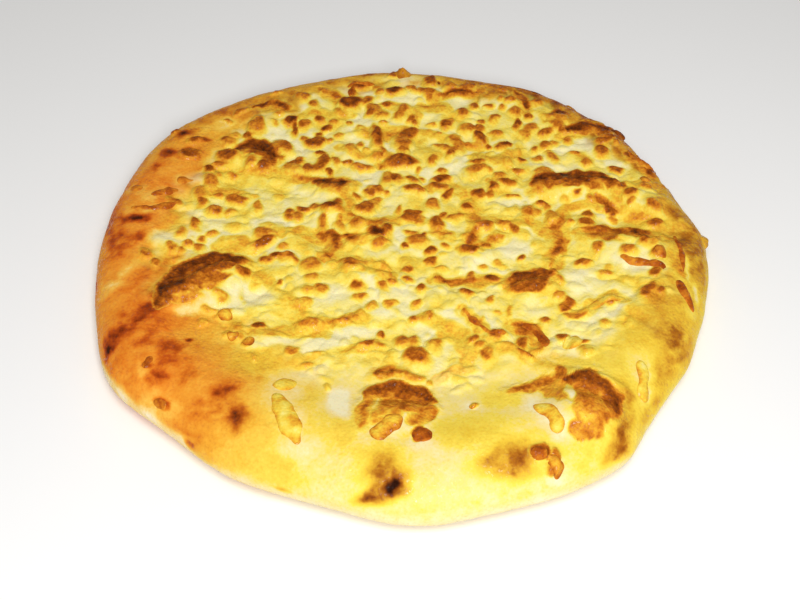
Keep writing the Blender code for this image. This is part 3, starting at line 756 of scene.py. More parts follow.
# %% [markdown]
# Then come spots: burnt crests, the crater on the near rim, streaks and pale
# gaps. Each draws the crust towards its own value from whatever it was, so
# one spot can darken and the next one clear. A spot with a soft edge is drawn
# larger, because only its middle reaches its full value. Fine freckles roughen
# whatever browned.

# %% Baked spots on the crust
SOFT_GROWTH, FIRM_GROWTH = 1.9, 1.3
FRECKLES = 0.24
BAKED_SPOTS = (
    # x, y, length, width, turn, how far it baked, and how soft its edge is
    (-137, -26, 14, 7, 24, 0.22, 0.8), (-131, -13, 15, 6, 60, 0.26, 0.8),
    (-134, -82, 14, 8, -52, 0.04, 0.7), (-124, -94, 17, 9, -46, 0.04, 0.7),
    (-111, -107, 17, 9, -42, 0.04, 0.7), (-96, -119, 16, 8, -36, 0.06, 0.7),
    (-124, -48, 28, 16, 52, 0.64, 0.8), (-120, -42, 22, 8, 58, 0.74, 0.8),
    (-113, -57, 16, 14, 0, 0.65, 0.8), (-133, -65, 17, 8, 62, 0.92, 0.8),
    (-88, -56, 30, 18, 0, 0.42, 0.9), (-104, -68, 18, 14, 0, 0.67, 0.8), (-113, -75, 6, 5, 0, 0.78, 0.5),
    (-96, -60, 5, 4, 0, 0.76, 0.6), (-95, -81, 7, 7, 0, 0.72, 0.7), (-109, -82, 7, 6, 30, 0.78, 0.7),
    (-105, -96, 11, 6, -40, 0.84, 0.35), (-78, -88, 12, 8, 0, 0.76, 0.8),
    (-71, -104, 11, 12, 0, 0.80, 0.8), (-62, -83, 4, 6, 0, 0.60, 0.6), (-84, -100, 16, 10, 0, 0.62, 0.9),
    (-133, 24, 12, 6, 0, 0.92, 0.7), (-140, 4, 14, 20, 0, 0.68, 0.9), (-140, 60, 16, 20, 20, 0.60, 0.9),
    (-112, 74, 12, 7, 10, 0.86, 0.8), (-107, 83, 10, 5, 10, 0.78, 0.8), (-118, 88, 13, 6, 30, 0.80, 0.8),
    (-124, 75, 8, 7, 20, 0.78, 0.8), (-128, 64, 12, 6, 50, 0.72, 0.8), (-131, 8, 14, 6, 40, 0.70, 0.8),
    (-100, 108, 30, 10, 38, 0.60, 0.8), (-148, -30, 6, 24, 0, 0.66, 0.8),
    (-145, 20, 10, 26, 0, 0.66, 0.9), (124, -56, 26, 14, -30, 0.67, 0.9),
    (122, -72, 12, 24, -20, 0.62, 0.9), (93, -123, 14, 12, 40, 0.70, 0.9),
    (142, 5, 16, 18, 30, 0.76, 0.8), (138, 25, 16, 12, 0, 0.66, 0.9), (142, 40, 10, 24, 10, 0.78, 0.8),
    (115, 18, 26, 10, -20, 0.60, 0.9), (-8, -132, 16, 24, 10, 0.52, 0.9),
    (-6, -133, 12, 15, 16, 0.72, 0.7), (-2, -141, 13, 15, 10, 0.84, 0.6), (-3, -140, 7, 8, 0, 1.00, 0.5),
    (-11, -148, 13, 9, 20, 0.84, 0.7), (-8, -141, 8, 12, 0, 0.66, 0.8), (50, -127, 30, 18, 10, 0.66, 0.9),
    (42, -128, 14, 11, 10, 0.64, 0.8), (146, -10, 12, 24, 0, 0.60, 0.9),
    (96, -112, 9, 20, -18, 0.70, 0.9), (84, 123, 16, 10, -40, 0.95, 0.6),
    (98, 110, 22, 10, -45, 0.84, 0.8), (122, 92, 26, 10, -55, 0.84, 0.8),
    (135, 68, 22, 9, -68, 0.84, 0.8), (60, 133, 30, 8, -15, 0.76, 0.8), (-2, 144, 26, 8, 0, 0.70, 0.8),
    (-50, 136, 34, 8, 14, 0.72, 0.8), (-80, 124, 30, 9, 28, 0.68, 0.8), (-90, -119, 8, 5, -40, 0.70, 0.7),
    (-49, -144, 8, 4, -20, 0.66, 0.7), (100, -95, 14, 20, 20, 0.56, 0.9),
    (110, -100, 10, 24, -30, 0.58, 0.9), (118, -30, 26, 30, 0, 0.52, 0.9),
    (-70, -72, 34, 22, -10, 0.41, 0.9), (-20, -112, 30, 20, 0, 0.36, 0.9),
    (30, -112, 30, 16, 10, 0.38, 0.9),
)
WARM_PATCHES = (
    # the same, with how warm; x and y lie on the rolled out skin itself
    (-98, -26, 52, 34, 20, 0.35, 0.8), (-86, -60, 56, 44, -10, 0.62, 0.9), (-64, -73, 48, 40, 0, 0.15, 0.9),
)
for x, y, length, width, turn, warm, soft in WARM_PATCHES:
    stamp("warm", x, y, length, width, turn, warm, soft=soft, blend=True)
for x, y, length, width, turn, bake, soft in BAKED_SPOTS:
    grow = SOFT_GROWTH if soft > 0.6 else FIRM_GROWTH
    size = (length * grow, width * grow)
    stamp("bake", *place_on_skin(x, y), *size, turn, bake, soft=min(1.0, soft + 0.3), blend=True)
freckles = layered_noise(BENT_X, BENT_Y, 4.5, 43)
sheet["bake"] += FRECKLES * smooth(0.40, 0.65, sheet["bake"]) * freckles
print("baked", len(BAKED_SPOTS), "spots on the crust")

# %% [markdown]
# Under the widest level the dough touched the pan or lay in the rim's shade,
# so a pale band runs round there, and the base is evenly browned.

# %% Pale band and foot
BAND_DEPTH, BAND_HALF_WIDTH, BAND_STRENGTH = 3.0, 6.0, 0.75
FOOT_DEPTH, FOOT_BAKE = 10.0, 0.56
widest_along = shoulder_start(sheet_angle) + shoulder_width(sheet_angle) * QUARTER
below = sheet_reach - widest_along
from_band = below - BAND_DEPTH + 2.0 * noise(SHEET_X, SHEET_Y, 14.0, 41)
pale = np.exp(-((from_band / BAND_HALF_WIDTH) ** 2))
sheet["bake"] = sheet["bake"] * (1.0 - BAND_STRENGTH * pale * (0.35 + 0.65 * fatness(sheet_angle)))
sheet["bake"] = np.where(below > FOOT_DEPTH, FOOT_BAKE, sheet["bake"])
print("the band takes up to", round(100 * BAND_STRENGTH), "% of the baking away")

# %% [markdown]
# ## Shreds and their pale borders
# Shreds of cheese lie on the crust, each in a pale border of the fat that ran
# out of it. The border is paint on the skin under them, so their places are
# needed here, before their meshes are made.

# %% Places of the shreds
HALO_WIDTH, HALO_CREAM = 2.3, 0.45
BROWNED_SHREDS = (
    # path, width, height, waist, and how much deeper in tone than the others
    (((107, -5), (112, -9), (120, -10), (129, -13)), 6.0, 2.0, 0.0, 0.0),
    (((127, 2), (128, -8)), 7.0, 2.0, 0.0, 0.0),
    (((133, -21), (135, -30), (137, -43)), 6.0, 2.0, 0.0, 0.0),
    (((136, 10), (138, -2), (137, -16)), 3.0, 1.4, 0.0, 0.0),
    (((121, 75), (125, 68), (129, 61), (134, 55)), 5.5, 2.0, 0.0, 0.0),
    (((-137, 30), (-126, 30), (-113, 33)), 5.0, 1.8, 0.3, 0.0),
    (((-128, 40), (-121, 43), (-114, 44)), 6.0, 2.0, 0.3, 0.0),
    (((-116, 52), (-107, 51)), 6.0, 2.0, 0.0, 0.0),
    (((-139, 45), (-133, 45)), 5.0, 1.8, 0.0, 0.0),
    (((-30, 132), (-22, 134), (-14, 134)), 4.0, 1.6, 0.0, 0.0),
    (((-27, 131), (-28, 122)), 3.6, 1.5, 0.0, 0.0),
    (((-108, -96), (-102, -99)), 9.0, 1.6, 0.0, 0.0),
    (((9, -110), (10, -118)), 8.0, 1.8, 0.0, 0.0),
    (((58, -121), (59, -128)), 8.0, 1.8, 0.0, 0.0),
    (((56, -50), (62, -53), (66, -60), (66, -66)), 6.0, 2.0, 0.3, 0.0),
    (((30, -42), (35, -49), (41, -56), (49, -57)), 5.0, 1.7, 0.4, 0.0),
    (((-112, -70), (-115, -77)), 5.0, 1.4, 0.0, 0.0),
)
PALE_SHREDS = (
    # the same
    (((108, -72), (109, -81), (107, -90), (108, -97)), 9.0, 2.0, 0.35, 0.0),
    (((-52, -83), (-50, -90)), 10.0, 1.8, 0.0, 0.0),
    (((-55, -91), (-51, -100), (-47, -110), (-43, -120)), 10.0, 1.9, 0.0, 0.0),
    (((-12, -116), (-6, -110), (1, -104)), 10.0, 2.0, 0.2, 0.15),
    (((58, -98), (65, -101), (68, -107), (67, -114)), 8.0, 1.6, 0.3, 0.0),
    (((62, -125), (66, -131), (65, -138)), 6.0, 1.6, 0.0, 0.16),
    (((-84, -47), (-79, -43)), 8.0, 1.8, 0.0, 0.18),
    (((-79, -59), (-74, -57)), 7.0, 1.8, 0.0, 0.18),
    (((-71, -64), (-67, -60)), 6.0, 1.6, 0.0, 0.18),
    (((76, -60), (82, -64)), 11.0, 2.0, 0.0, 0.0),
    (((88, -41), (96, -35), (107, -33)), 6.0, 1.6, 0.0, 0.0),
    (((126, 48), (128, 53)), 6.0, 1.8, 0.0, 0.15),
    (((30, -99), (33, -99)), 4.0, 1.5, 0.0, 0.12),
)
for path, shred_width, *_ in BROWNED_SHREDS + PALE_SHREDS:
    for x, y in path:
        halo = HALO_WIDTH * shred_width
        stamp("cream", *place_on_skin(x, y), halo, halo, 0.0, HALO_CREAM, soft=0.8)
print("bordered", len(BROWNED_SHREDS), "browned and", len(PALE_SHREDS), "pale shreds")

# %% [markdown]
# Fresh curd stayed cream coloured in patches, and butter pooled yellow between
# them. Both go into one layer, cream above zero and butter below.

# %% Cream patches and pools of butter
CREAM_GROWTH = 1.2
CREAM_PATCHES = (
    # x, y, length, width and turn
    (-79, -24, 16, 20, 10), (-84, -36, 24, 10, 14), (-62, -30, 18, 20, -30), (-33, -31, 20, 14, 0),
    (-20, -56, 50, 8, 5), (28, -47, 24, 14, -20), (60, -2, 20, 16, 0), (96, -42, 24, 14, 20),
    (112, 4, 10, 16, 0), (118, 30, 24, 10, 0), (36, -14, 18, 10, 0), (-25, 18, 16, 6, 0),
    (-46, 44, 16, 10, 0), (60, 46, 26, 10, 0), (104, 40, 12, 16, 30), (0, 4, 16, 10, 0),
    (-116, 8, 20, 14, 0), (0, 140, 60, 8, 0), (75, -93, 8, 10, 0), (-95, 70, 14, 16, 0),
    (-60, -62, 30, 8, 15), (-34, -66, 34, 18, 5), (130, 25, 18, 8, -20), (-66, 18, 20, 12, 0),
    (-98, -43, 26, 8, 14), (84, -48, 20, 14, 0), (-26, -95, 12, 26, 0), (50, 6, 22, 12, 0),
    (52, 36, 24, 10, 0), (73, 66, 20, 12, 0), (-96, 98, 18, 12, 40), (139, -13, 6, 24, 5),
    (141, -32, 6, 20, 5),
)
YELLOW_POOLS = (
    # the same, and how strong
    (45, -73, 22, 14, 0, 0.6), (44, -96, 26, 14, 0, 0.5), (94, 68, 22, 12, 0, 1.2),
    (122, -24, 22, 22, 0, 1.2), (110, -22, 24, 16, 0, 1.0), (-32, 100, 20, 12, 0, 0.5),
)
for x, y, length, width, turn in CREAM_PATCHES:
    size = (length * CREAM_GROWTH, width * CREAM_GROWTH)
    stamp("cream", *place_on_skin(x, y), *size, turn, 1.0, soft=0.8)
for x, y, length, width, turn, strength in YELLOW_POOLS:
    size = (length * CREAM_GROWTH, width * CREAM_GROWTH)
    stamp("cream", *place_on_skin(x, y), *size, turn, -strength, soft=0.8, blend=True)
print("laid", len(CREAM_PATCHES), "cream patches and", len(YELLOW_POOLS), "pools of butter")

# %% [markdown]
# ## Tone of the cheese
# One number says how far the cheese went, from cream over yellow and gold to
# dark brown. Slow noise gives broad yellow clouds, the cream and butter patches
# pull it down or up, and the gold borders and brown crests win wherever they
# are deeper. Where the cheese thins out over the crust it is a little deeper
# too, and so it is in the furrows between lumps, partly from pooled butter and
# partly as painted warm shade.

# %% Tone of the cheese
PLAIN_TONE, CLOUD_TONE, CREAM_TONE, FURROW_SHADE_TONE, THIN_TONE = 0.14, 0.29, 0.20, 0.02, 0.26
CREAM_OVER_GOLD, CREAM_OVER_CRUST = 0.45, 0.30
furrow_shade = 1.0 - smooth(0.1, 0.9, sheet["lumps"])
tone_clouds = layered_noise(BENT_X, BENT_Y, 15.0, 51, 4)
far_side = smooth(0.0, 110.0, SHEET_Y)
tone = PLAIN_TONE - 0.07 * far_side + (CLOUD_TONE + 0.05 * far_side) * tone_clouds
# The furrows between lumps go a little deeper in tone: pooled butter, and painted warm shade
tone = tone - CREAM_TONE * sheet["cream"] + FURROW_SHADE_TONE * furrow_shade
thin = 1.0 - smooth(0.2, 0.9, sheet["cheese"])
tone = tone + THIN_TONE * thin * (1.0 - 0.8 * near_side)
ragged = 0.10 * layered_noise(BENT_X, BENT_Y, 4.0, 55)
gold = sheet["gold"] + ragged * smooth(0.1, 0.3, sheet["gold"])
gold = gold * (1.0 - CREAM_OVER_GOLD * np.clip(sheet["cream"], 0.0, 1.0))
bubbles = 1.0 - 2.0 * np.abs(noise(BENT_X, BENT_Y, 3.2, 75))
# Less brown on the bubble tops and more between them: painted light on the tops and painted shade in the
# gaps
brown = sheet["brown"] + (1.2 * ragged - 0.07 * bubbles) * smooth(0.2, 0.5, sheet["brown"])
sheet["tone"] = np.clip(np.maximum(np.maximum(tone, gold), brown), 0.0, 1.0)
sheet["bake"] = np.maximum(sheet["bake"] - CREAM_OVER_CRUST * np.maximum(sheet["cream"], -0.4), brown)
sheet["cheese"] = np.maximum(sheet["cheese"], smooth(0.15, 0.45, brown))
print("mean tone", round(float(sheet["tone"][sheet["cheese"] > 0.5].mean()), 3))

# %% [markdown]
# ## Relief of the skin
# Lumps, ledges and the crust's own unevenness are added up. The lumps stand
# on the cheese and sink into the dough at its edge. A few dips are pressed in:
# the burnt crater with its raised ring, and two small holes.

# %% Adding up the relief
DIPS = ((-3, -140, 10, 9, 2.0), (22, 137, 4, 4, 1.2), (75, -93, 8, 9, 1.0))
for x, y, length, width, depth in DIPS:
    stamp("dip", *place_on_skin(x, y), length, width, 0, depth, top=0.9)
stamp("ring", *place_on_skin(-4, -136), 22, 20, 0, 0.9, top=0.9)
cover = smooth(0.1, 0.7, np.maximum(sheet["cheese"], sheet["brown"]))
sheet["relief"] = sheet["relief"] + sheet["ring"] - sheet["dip"]
unevenness = 0.3 + 0.9 * cover + 0.5 * (1.0 - near_side) * (1.0 - cover)
uneven = unevenness * layered_noise(SHEET_X, SHEET_Y, 17.0, 61, 4)
uneven = uneven + 0.45 * cover * layered_noise(BENT_X, BENT_Y, 6.0, 65, 3)
grain = (0.05 + 0.07 * cover) * layered_noise(SHEET_X, SHEET_Y, 3.0, 71, 2)
crust_bubbles = 0.55 * smooth(0.35, 0.7, sheet["brown"]) * bubbles
sheet["relief"] = sheet["relief"] + sheet["lumps"] * cover + uneven + grain + crust_bubbles - 0.5 * cover
low, high = float(sheet["relief"].min()), float(sheet["relief"].max())
print("relief from", round(low, 2), "to", round(high, 2), "mm")


def read_sheet(name, x, y):
    """A layer of the sheet at any places: the mean of the four nearest cells,
    weighed by how near they are."""
    a = np.clip((x + SHEET_HALF) / CELL - 0.5, 0.0, CELLS - 1.001)
    b = np.clip((y + SHEET_HALF) / CELL - 0.5, 0.0, CELLS - 1.001)
    i, j = a.astype(int), b.astype(int)
    s, t = a - i, b - j
    layer = sheet[name]
    low = layer[j, i] * (1 - s) + layer[j, i + 1] * s
    high = layer[j + 1, i] * (1 - s) + layer[j + 1, i + 1] * s
    return low * (1 - t) + high * t


# %% [markdown]
# ## From numbers to a mesh
# Every piece is a grid of points, so its faces follow from the numbers of rows
# and columns alone. A shred or a tip is a tube whose two ends are points.

# %% Faces of grids and tubes


def grid_faces(rows, columns, closed):
    """Corner numbers of the squares of a grid, row after row. With closed the
    last column joins the first."""
    index = np.arange(rows * columns).reshape(rows, columns)
    here = index if closed else index[:, :-1]
    right = np.roll(index, -1, axis=1) if closed else index[:, 1:]
    return np.stack([here[:-1], right[:-1], right[1:], here[1:]], -1).reshape(-1, 4)


def tube_faces(rings, sides):
    """Squares and threes of a tube that ends in single points, which are the
    first and the last of its points: squares between rings, threes at its ends."""
    squares = grid_faces(rings, sides, True) + 1
    first = np.arange(sides) + 1
    last = first + (rings - 1) * sides
    start = np.stack([np.zeros(sides, int), np.roll(first, -1), first], -1)
    end = np.stack([np.full(sides, rings * sides + 1), last, np.roll(last, -1)], -1)
    return squares, np.concatenate([start, end])


print("a grid of 3 by 3 points has", len(grid_faces(3, 3, False)), "squares")

# %% [markdown]
# An array of points becomes a mesh with foreach_set, which takes it whole. The
# layers of the sheet go with it as named attributes, and the material reads
# them. A point of the skin is moved out by the relief.

# %% From arrays to a piece
PAINT_LAYERS = ("tone", "bake", "warm", "cheese")


def join_parts(parts):
    """Parts of one mesh, each with its points, squares, threes and paint, put one
    after another. Each part's corner numbers grow by the points before it."""
    points, squares, threes, paint = zip(*parts)
    before = np.cumsum([0] + [len(block) for block in points[:-1]])
    faces = []
    for blocks in (squares, threes):
        faces.append(np.concatenate([block + first for block, first in zip(blocks, before)]))
    return np.concatenate(points), faces, np.concatenate(paint)


def new_piece(name, points, faces, layers):
    """A smooth mesh object at the origin, its points given in millimetres. Faces
    are arrays, each of faces with the same number of corners."""
    corner_counts = np.concatenate([np.full(len(block), block.shape[1]) for block in faces])
    corners = np.concatenate([block.ravel() for block in faces])
    mesh = bpy.data.meshes.new(name)
    mesh.vertices.add(len(points))
    mesh.vertices.foreach_set("co", (points * MM).astype(np.float32).ravel())
    mesh.loops.add(len(corners))
    mesh.loops.foreach_set("vertex_index", corners.astype(np.int32))
    mesh.polygons.add(len(corner_counts))
    loop_starts = np.cumsum(corner_counts) - corner_counts
    mesh.polygons.foreach_set("loop_start", loop_starts.astype(np.int32))
    mesh.update(calc_edges=True)
    mesh.validate()
    mesh.shade_smooth()
    for layer, values in layers.items():
        attribute = mesh.attributes.new(layer, "FLOAT", "POINT")
        attribute.data.foreach_set("value", np.asarray(values).astype(np.float32).ravel())
    piece = bpy.data.objects.new(name, mesh)
    scene.collection.objects.link(piece)
    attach(piece, "root")
    print(name, "has", len(points), "points and", len(corner_counts), "faces")
    return piece


def skin_piece(name, along, angle, faces):
    """A piece of the loaf's skin: each point is moved out by the sheet's relief,
    which fades to nothing where the skin turns flat under the loaf."""
    x, y = along * np.cos(angle), along * np.sin(angle)
    points, outward = skin_point(along, angle)
    base = smooth(math.pi, 0.8 * math.pi, skin_lean(along, angle))
    points = points + outward * (read_sheet("relief", x, y) * base)[..., None]
    layers = {layer: read_sheet(layer, x, y) for layer in PAINT_LAYERS}
    return new_piece(name, points.reshape(-1, 3), [faces], layers)


print("each piece carries the layers", PAINT_LAYERS)

# %% [markdown]
# ## The top
# A disc of even squares has no pinched middle, unlike a fan of rings. A square
# grid is pressed into a disc ring by ring: the ring number gives the distance
# and the place along its side gives the angle.

# %% Top of the loaf
TOP_CELLS = 306


def disc_of_squares(cells):
    """Share of the radius and angle of each point of a square grid pressed into
    a disc: the ring number is the share, the place along its side the angle."""
    side = np.linspace(-1.0, 1.0, cells + 1)
    grid_a, grid_b = np.meshgrid(side, side)
    wider = np.abs(grid_a) > np.abs(grid_b)
    ring = np.where(wider, grid_a, grid_b)
    other = np.where(wider, grid_b, grid_a)
    eighth = other / np.where(ring == 0.0, 1.0, ring) * (math.pi / 4.0)
    angle = np.where(wider, eighth, QUARTER - eighth)
    return np.abs(ring), np.arctan2(ring * np.sin(angle), ring * np.cos(angle))


top_share, top_angle = disc_of_squares(TOP_CELLS)
top_faces = grid_faces(TOP_CELLS + 1, TOP_CELLS + 1, False)
top = skin_piece("cheese_top", top_share * shoulder_start(top_angle), top_angle, top_faces)

# %% [markdown]
# ## The rim, the side and the base
# From the shoulder outward the skin is rings, about a millimetre apart. They go
# on under the widest level until the skin lies flat, where the base begins.

# %% Rim, side and base
RIM_SEGMENTS = 4 * TOP_CELLS
SHOULDER_RINGS, LOWER_RINGS = 34, 18
rim_angle = np.linspace(0.0, 2.0 * math.pi, RIM_SEGMENTS, endpoint=False)
rim_start, rim_width = shoulder_start(rim_angle), shoulder_width(rim_angle)
over = np.linspace(0.0, 1.0, SHOULDER_RINGS)[:, None]
under = np.linspace(0.0, 1.0, LOWER_RINGS)[1:, None]
rim_along = np.concatenate([
    rim_start + over * rim_width * QUARTER,
    rim_start + rim_width * QUARTER + under * LOWER_ARC * QUARTER,
])
rim_angles = np.broadcast_to(rim_angle, rim_along.shape)
rim_faces = grid_faces(len(rim_along), RIM_SEGMENTS, True)[:, ::-1]
rim = skin_piece("crust_rim", rim_along, rim_angles, rim_faces)

# %% [markdown]
# The base lay on the pan, so it is flat and browned, with the pan's dry
# marks. It is a disc of squares too, turned to face down.

# %% Base
BASE_CELLS = TOP_CELLS // 2
base_share, base_angle = disc_of_squares(BASE_CELLS)
foot_radius = outline_radius(base_angle) - FOOT_SET_IN
base_x = base_share * foot_radius * np.cos(base_angle)
base_y = base_share * foot_radius * np.sin(base_angle)
hollows = np.clip(layered_noise(base_x, base_y, 18.0, 81), 0.0, 1.0)
base_dip = 0.25 * hollows * smooth(1.0, 0.95, base_share)
base_points = np.stack([base_x, base_y, base_dip], -1)
base_layers = {
    "tone": np.zeros_like(base_x), "cheese": np.zeros_like(base_x),
    "bake": 0.58 + 0.26 * layered_noise(base_x, base_y, 22.0, 85, 4),
    "warm": 0.55 + 0.2 * noise(base_x, base_y, 40.0, 88),
}
base_faces = grid_faces(BASE_CELLS + 1, BASE_CELLS + 1, False)[:, ::-1]
base = new_piece("crust_base", base_points.reshape(-1, 3), [base_faces], base_layers)

# %% [markdown]
# ## Shreds of cheese on the crust
# Some shreds of cheese fell on the bare rim. They melted into flat beans and
# threads: red brown where they burnt, and clear yellow in a pale border where
# they only melted. Each is a tube along a short path on the skin, with a low
# arched section, and it runs out to a point at both ends.

# %% Shreds and threads
SHRED_STEPS, SHRED_SIDES = 28, 14
SHRED_ARCH, SHRED_SINK, SHRED_MOTTLE = 0.62, 0.2, 0.20
SMOOTHING_ROUNDS = 5


def shred(path, width, height, waist, uneven):
    """Points and faces of one shred in millimetres.

    Along the path the half width is width / 2 times the square root of
    1 - t^2 (with t from -1 to 1), less a waist, and made uneven by noise.
    Round the section the point goes sideways with the cosine and up with the
    sine to the power 1.5; its lower half is flat, a little under the skin.
    Both ends are single points."""
    path = np.array([place_on_skin(x, y) for x, y in path])
    steps = np.hypot(*np.diff(path, axis=0).T)
    reached = np.concatenate([[0.0], np.cumsum(steps)]) / steps.sum()
    share = np.linspace(0.0, 1.0, SHRED_STEPS)
    line = np.stack([np.interp(share, reached, path[:, axis]) for axis in (0, 1)], -1)
    for _ in range(SMOOTHING_ROUNDS):
        line[1:-1] = 0.25 * line[:-2] + 0.5 * line[1:-1] + 0.25 * line[2:]
    ahead = np.gradient(line, axis=0)
    ahead = ahead / np.hypot(ahead[:, 0], ahead[:, 1])[:, None]
    across = np.stack([-ahead[:, 1], ahead[:, 0]], -1)
    t = 2.0 * share - 1.0
    full = np.sqrt(np.clip(1.0 - t ** 2, 0.0, 1.0)) * (1.0 - waist * np.exp(-((t / 0.35) ** 2)))
    full = full * (1.0 + uneven * layered_noise(line[:, 0], line[:, 1], 5.0, 91, 2))
    round_angle = np.linspace(0.0, 2.0 * math.pi, SHRED_SIDES, endpoint=False)
    sideways = 0.5 * width * full[1:-1, None] * np.cos(round_angle)
    arch = np.where(np.sin(round_angle) > 0.0, np.abs(np.sin(round_angle)) ** 1.5, -0.12)
    up = height * full[1:-1, None] ** 0.8 * arch
    flat = line[1:-1, None, :] + sideways[..., None] * across[1:-1, None, :]
    flat = np.concatenate([line[:1], flat.reshape(-1, 2), line[-1:]])
    up = np.concatenate([[0.0], up.ravel(), [0.0]])
    along, angle = np.hypot(flat[:, 0], flat[:, 1]), np.arctan2(flat[:, 1], flat[:, 0])
    points, outward = skin_point(along, angle)
    lift = read_sheet("relief", flat[:, 0], flat[:, 1]) + SHRED_ARCH * up - SHRED_SINK
    points = points + outward * lift[:, None]
    return points, *tube_faces(SHRED_STEPS - 2, SHRED_SIDES), up / height


def shred_piece(name, shreds, edge, crest, cheese, warm, uneven):
    """One mesh of many shreds, whose tone runs from one value at the edge to
    another at the crest, with mottling noise on it."""
    parts = []
    for path, width, height, waist, deeper in shreds:
        points, squares, threes, up = shred(path, width, height, waist, uneven)
        patch = layered_noise(points[:, 0], points[:, 1], 4.0, 93)
        tone = edge + (crest - edge) * np.clip(up, 0.0, 1.0) + SHRED_MOTTLE * patch + deeper
        parts.append((points, squares, threes, tone))
    points, faces, tone = join_parts(parts)
    is_cheese, is_warm = (np.full(len(points), share) for share in (cheese, warm))
    layers = {"tone": tone, "bake": tone, "cheese": is_cheese, "warm": is_warm}
    return new_piece(name, points, faces, layers)


browned_shreds = shred_piece(
    "browned_shreds", BROWNED_SHREDS, edge=0.60, crest=0.69, cheese=0.3, warm=0.65, uneven=0.7,
)
pale_shreds = shred_piece(
    "pale_shreds", PALE_SHREDS, edge=0.46, crest=0.26, cheese=1.0, warm=0.0, uneven=0.35,
)

# %% [markdown]
# A few crisp tips of dough and cheese stand out of the rim: a peak on the far
# side, a flake on the right and two blunt corners.

# %% Crisp tips
TIPS = (
    # place and half sizes on the loaf itself, turn, and how baked
    ((0.0, 143.0, 19.0), (5.5, 4.5, 5.5), 0.0, 0.58), ((149.0, 12.0, 13.0), (5.0, 4.0, 2.6), 60.0, 0.56),
    ((74.0, 128.0, 16.6), (5.5, 2.8, 2.2), -20.0, 0.84), ((117.0, 94.2, 15.6), (5.2, 3.0, 2.2), -50.0, 0.80),
)
TIP_ROWS, TIP_SIDES = 14, 24
TIP_BUMPS, TIP_MOTTLE, TIP_WARMTH = 0.16, 0.16, 0.15


def tip(place, half_sizes, turn):
    """An uneven ellipsoid that narrows upward: each ring's radius is multiplied
    by 1 - 0.6 cos(d), with d the angle from its top, and noise makes it uneven."""
    down = np.linspace(0.0, math.pi, TIP_ROWS)[1:-1, None]
    round_angle = np.linspace(0.0, 2.0 * math.pi, TIP_SIDES, endpoint=False)
    taper = 1.0 - 0.6 * np.cos(down)
    x, y = np.sin(down) * np.cos(round_angle) * taper, np.sin(down) * np.sin(round_angle) * taper
    rings = np.stack([x, y, np.broadcast_to(np.cos(down), x.shape)], -1)
    unit = np.concatenate([[[0.0, 0.0, 1.0]], rings.reshape(-1, 3), [[0.0, 0.0, -1.0]]])
    bumps = noise(unit[:, 0] * 3.0 + 5.0 * unit[:, 2], unit[:, 1] * 3.0, 1.4, 95)
    scaled = unit * (1.0 + TIP_BUMPS * bumps)[:, None] * np.array(half_sizes)
    cos_turn, sin_turn = math.cos(math.radians(turn)), math.sin(math.radians(turn))
    turned = scaled @ np.array([[cos_turn, sin_turn, 0.0], [-sin_turn, cos_turn, 0.0], [0.0, 0.0, 1.0]])
    squares, threes = tube_faces(TIP_ROWS - 2, TIP_SIDES)
    return turned + np.array(place), squares[:, ::-1], threes[:, ::-1]


tip_parts = []
for place, half_sizes, turn, bake in TIPS:
    points, squares, threes = tip(place, half_sizes, turn)
    tip_parts.append((points, squares, threes, np.full(len(points), bake)))
tip_points, tip_faces, tip_bake = join_parts(tip_parts)
tip_bake = tip_bake + TIP_MOTTLE * layered_noise(tip_points[:, 0], tip_points[:, 1], 5.0, 97)
is_cheese, is_warm = (np.full(len(tip_points), share) for share in (0.0, TIP_WARMTH))
tip_layers = {"tone": tip_bake, "cheese": is_cheese, "bake": tip_bake, "warm": is_warm}
tips = new_piece("crisp_tips", tip_points, tip_faces, tip_layers)

# %% [markdown]
# ## Colours
# Colours are written as sRGB hex numbers, as they would be picked from a
# picture, and one function turns them into the linear light that the shaders
# use.

# %% Colour and node helpers


def linear(code, alpha=1.0):
    """sRGB hex to linear: each channel divided by 255, then the sRGB curve undone."""
    channels = [int(code[i:i + 2], 16) / 255.0 for i in (1, 3, 5)]
    curve = [c / 12.92 if c <= 0.04045 else ((c + 0.055) / 1.055) ** 2.4 for c in channels]
    return (*curve, alpha)


def node(tree, kind, settings=None, inputs=None, output=0):
    """Adds one node and gives back one of its outputs. Settings are its own
    properties, or its colour stops. Each input is a value or another output."""
    new = tree.nodes.new(kind)
    for name, value in (settings or {}).items():
        if name != "stops":
            setattr(new, name, value)
            continue
        stops = new.color_ramp.elements
        for place, (position, code) in ((0, value[0]), (-1, value[-1])):
            stops[place].position = position
            stops[place].color = linear(code)
        for position, code in value[1:-1]:
            stops.new(position).color = linear(code)
    for socket, value in (inputs or {}).items():
        if isinstance(value, bpy.types.NodeSocket):
            tree.links.new(value, new.inputs[socket])
        else:
            new.inputs[socket].default_value = value
    return new.outputs[output]


print("a middle grey, #808080, is", round(linear("#808080")[0], 3), "in linear light")

# %% [markdown]
# ## Melted cheese and egg washed crust
# Melted cheese is a soft, slightly see-through fat and protein gel: cream
# where it is thick, yellow where butter ran, and it goes gold, orange brown
# and dark brown as it browns. It shines where fat lies on it. Baked dough is
# dull, but this one was brushed with egg, which dries to a thin clear gloss.
# Both are one material here, because one runs into the other without an edge,
# and the cheese layer says which is which. Each has a palette that runs from
# raw at 0 to burnt at 1, and the crust has two, for egg yellow and for orange.

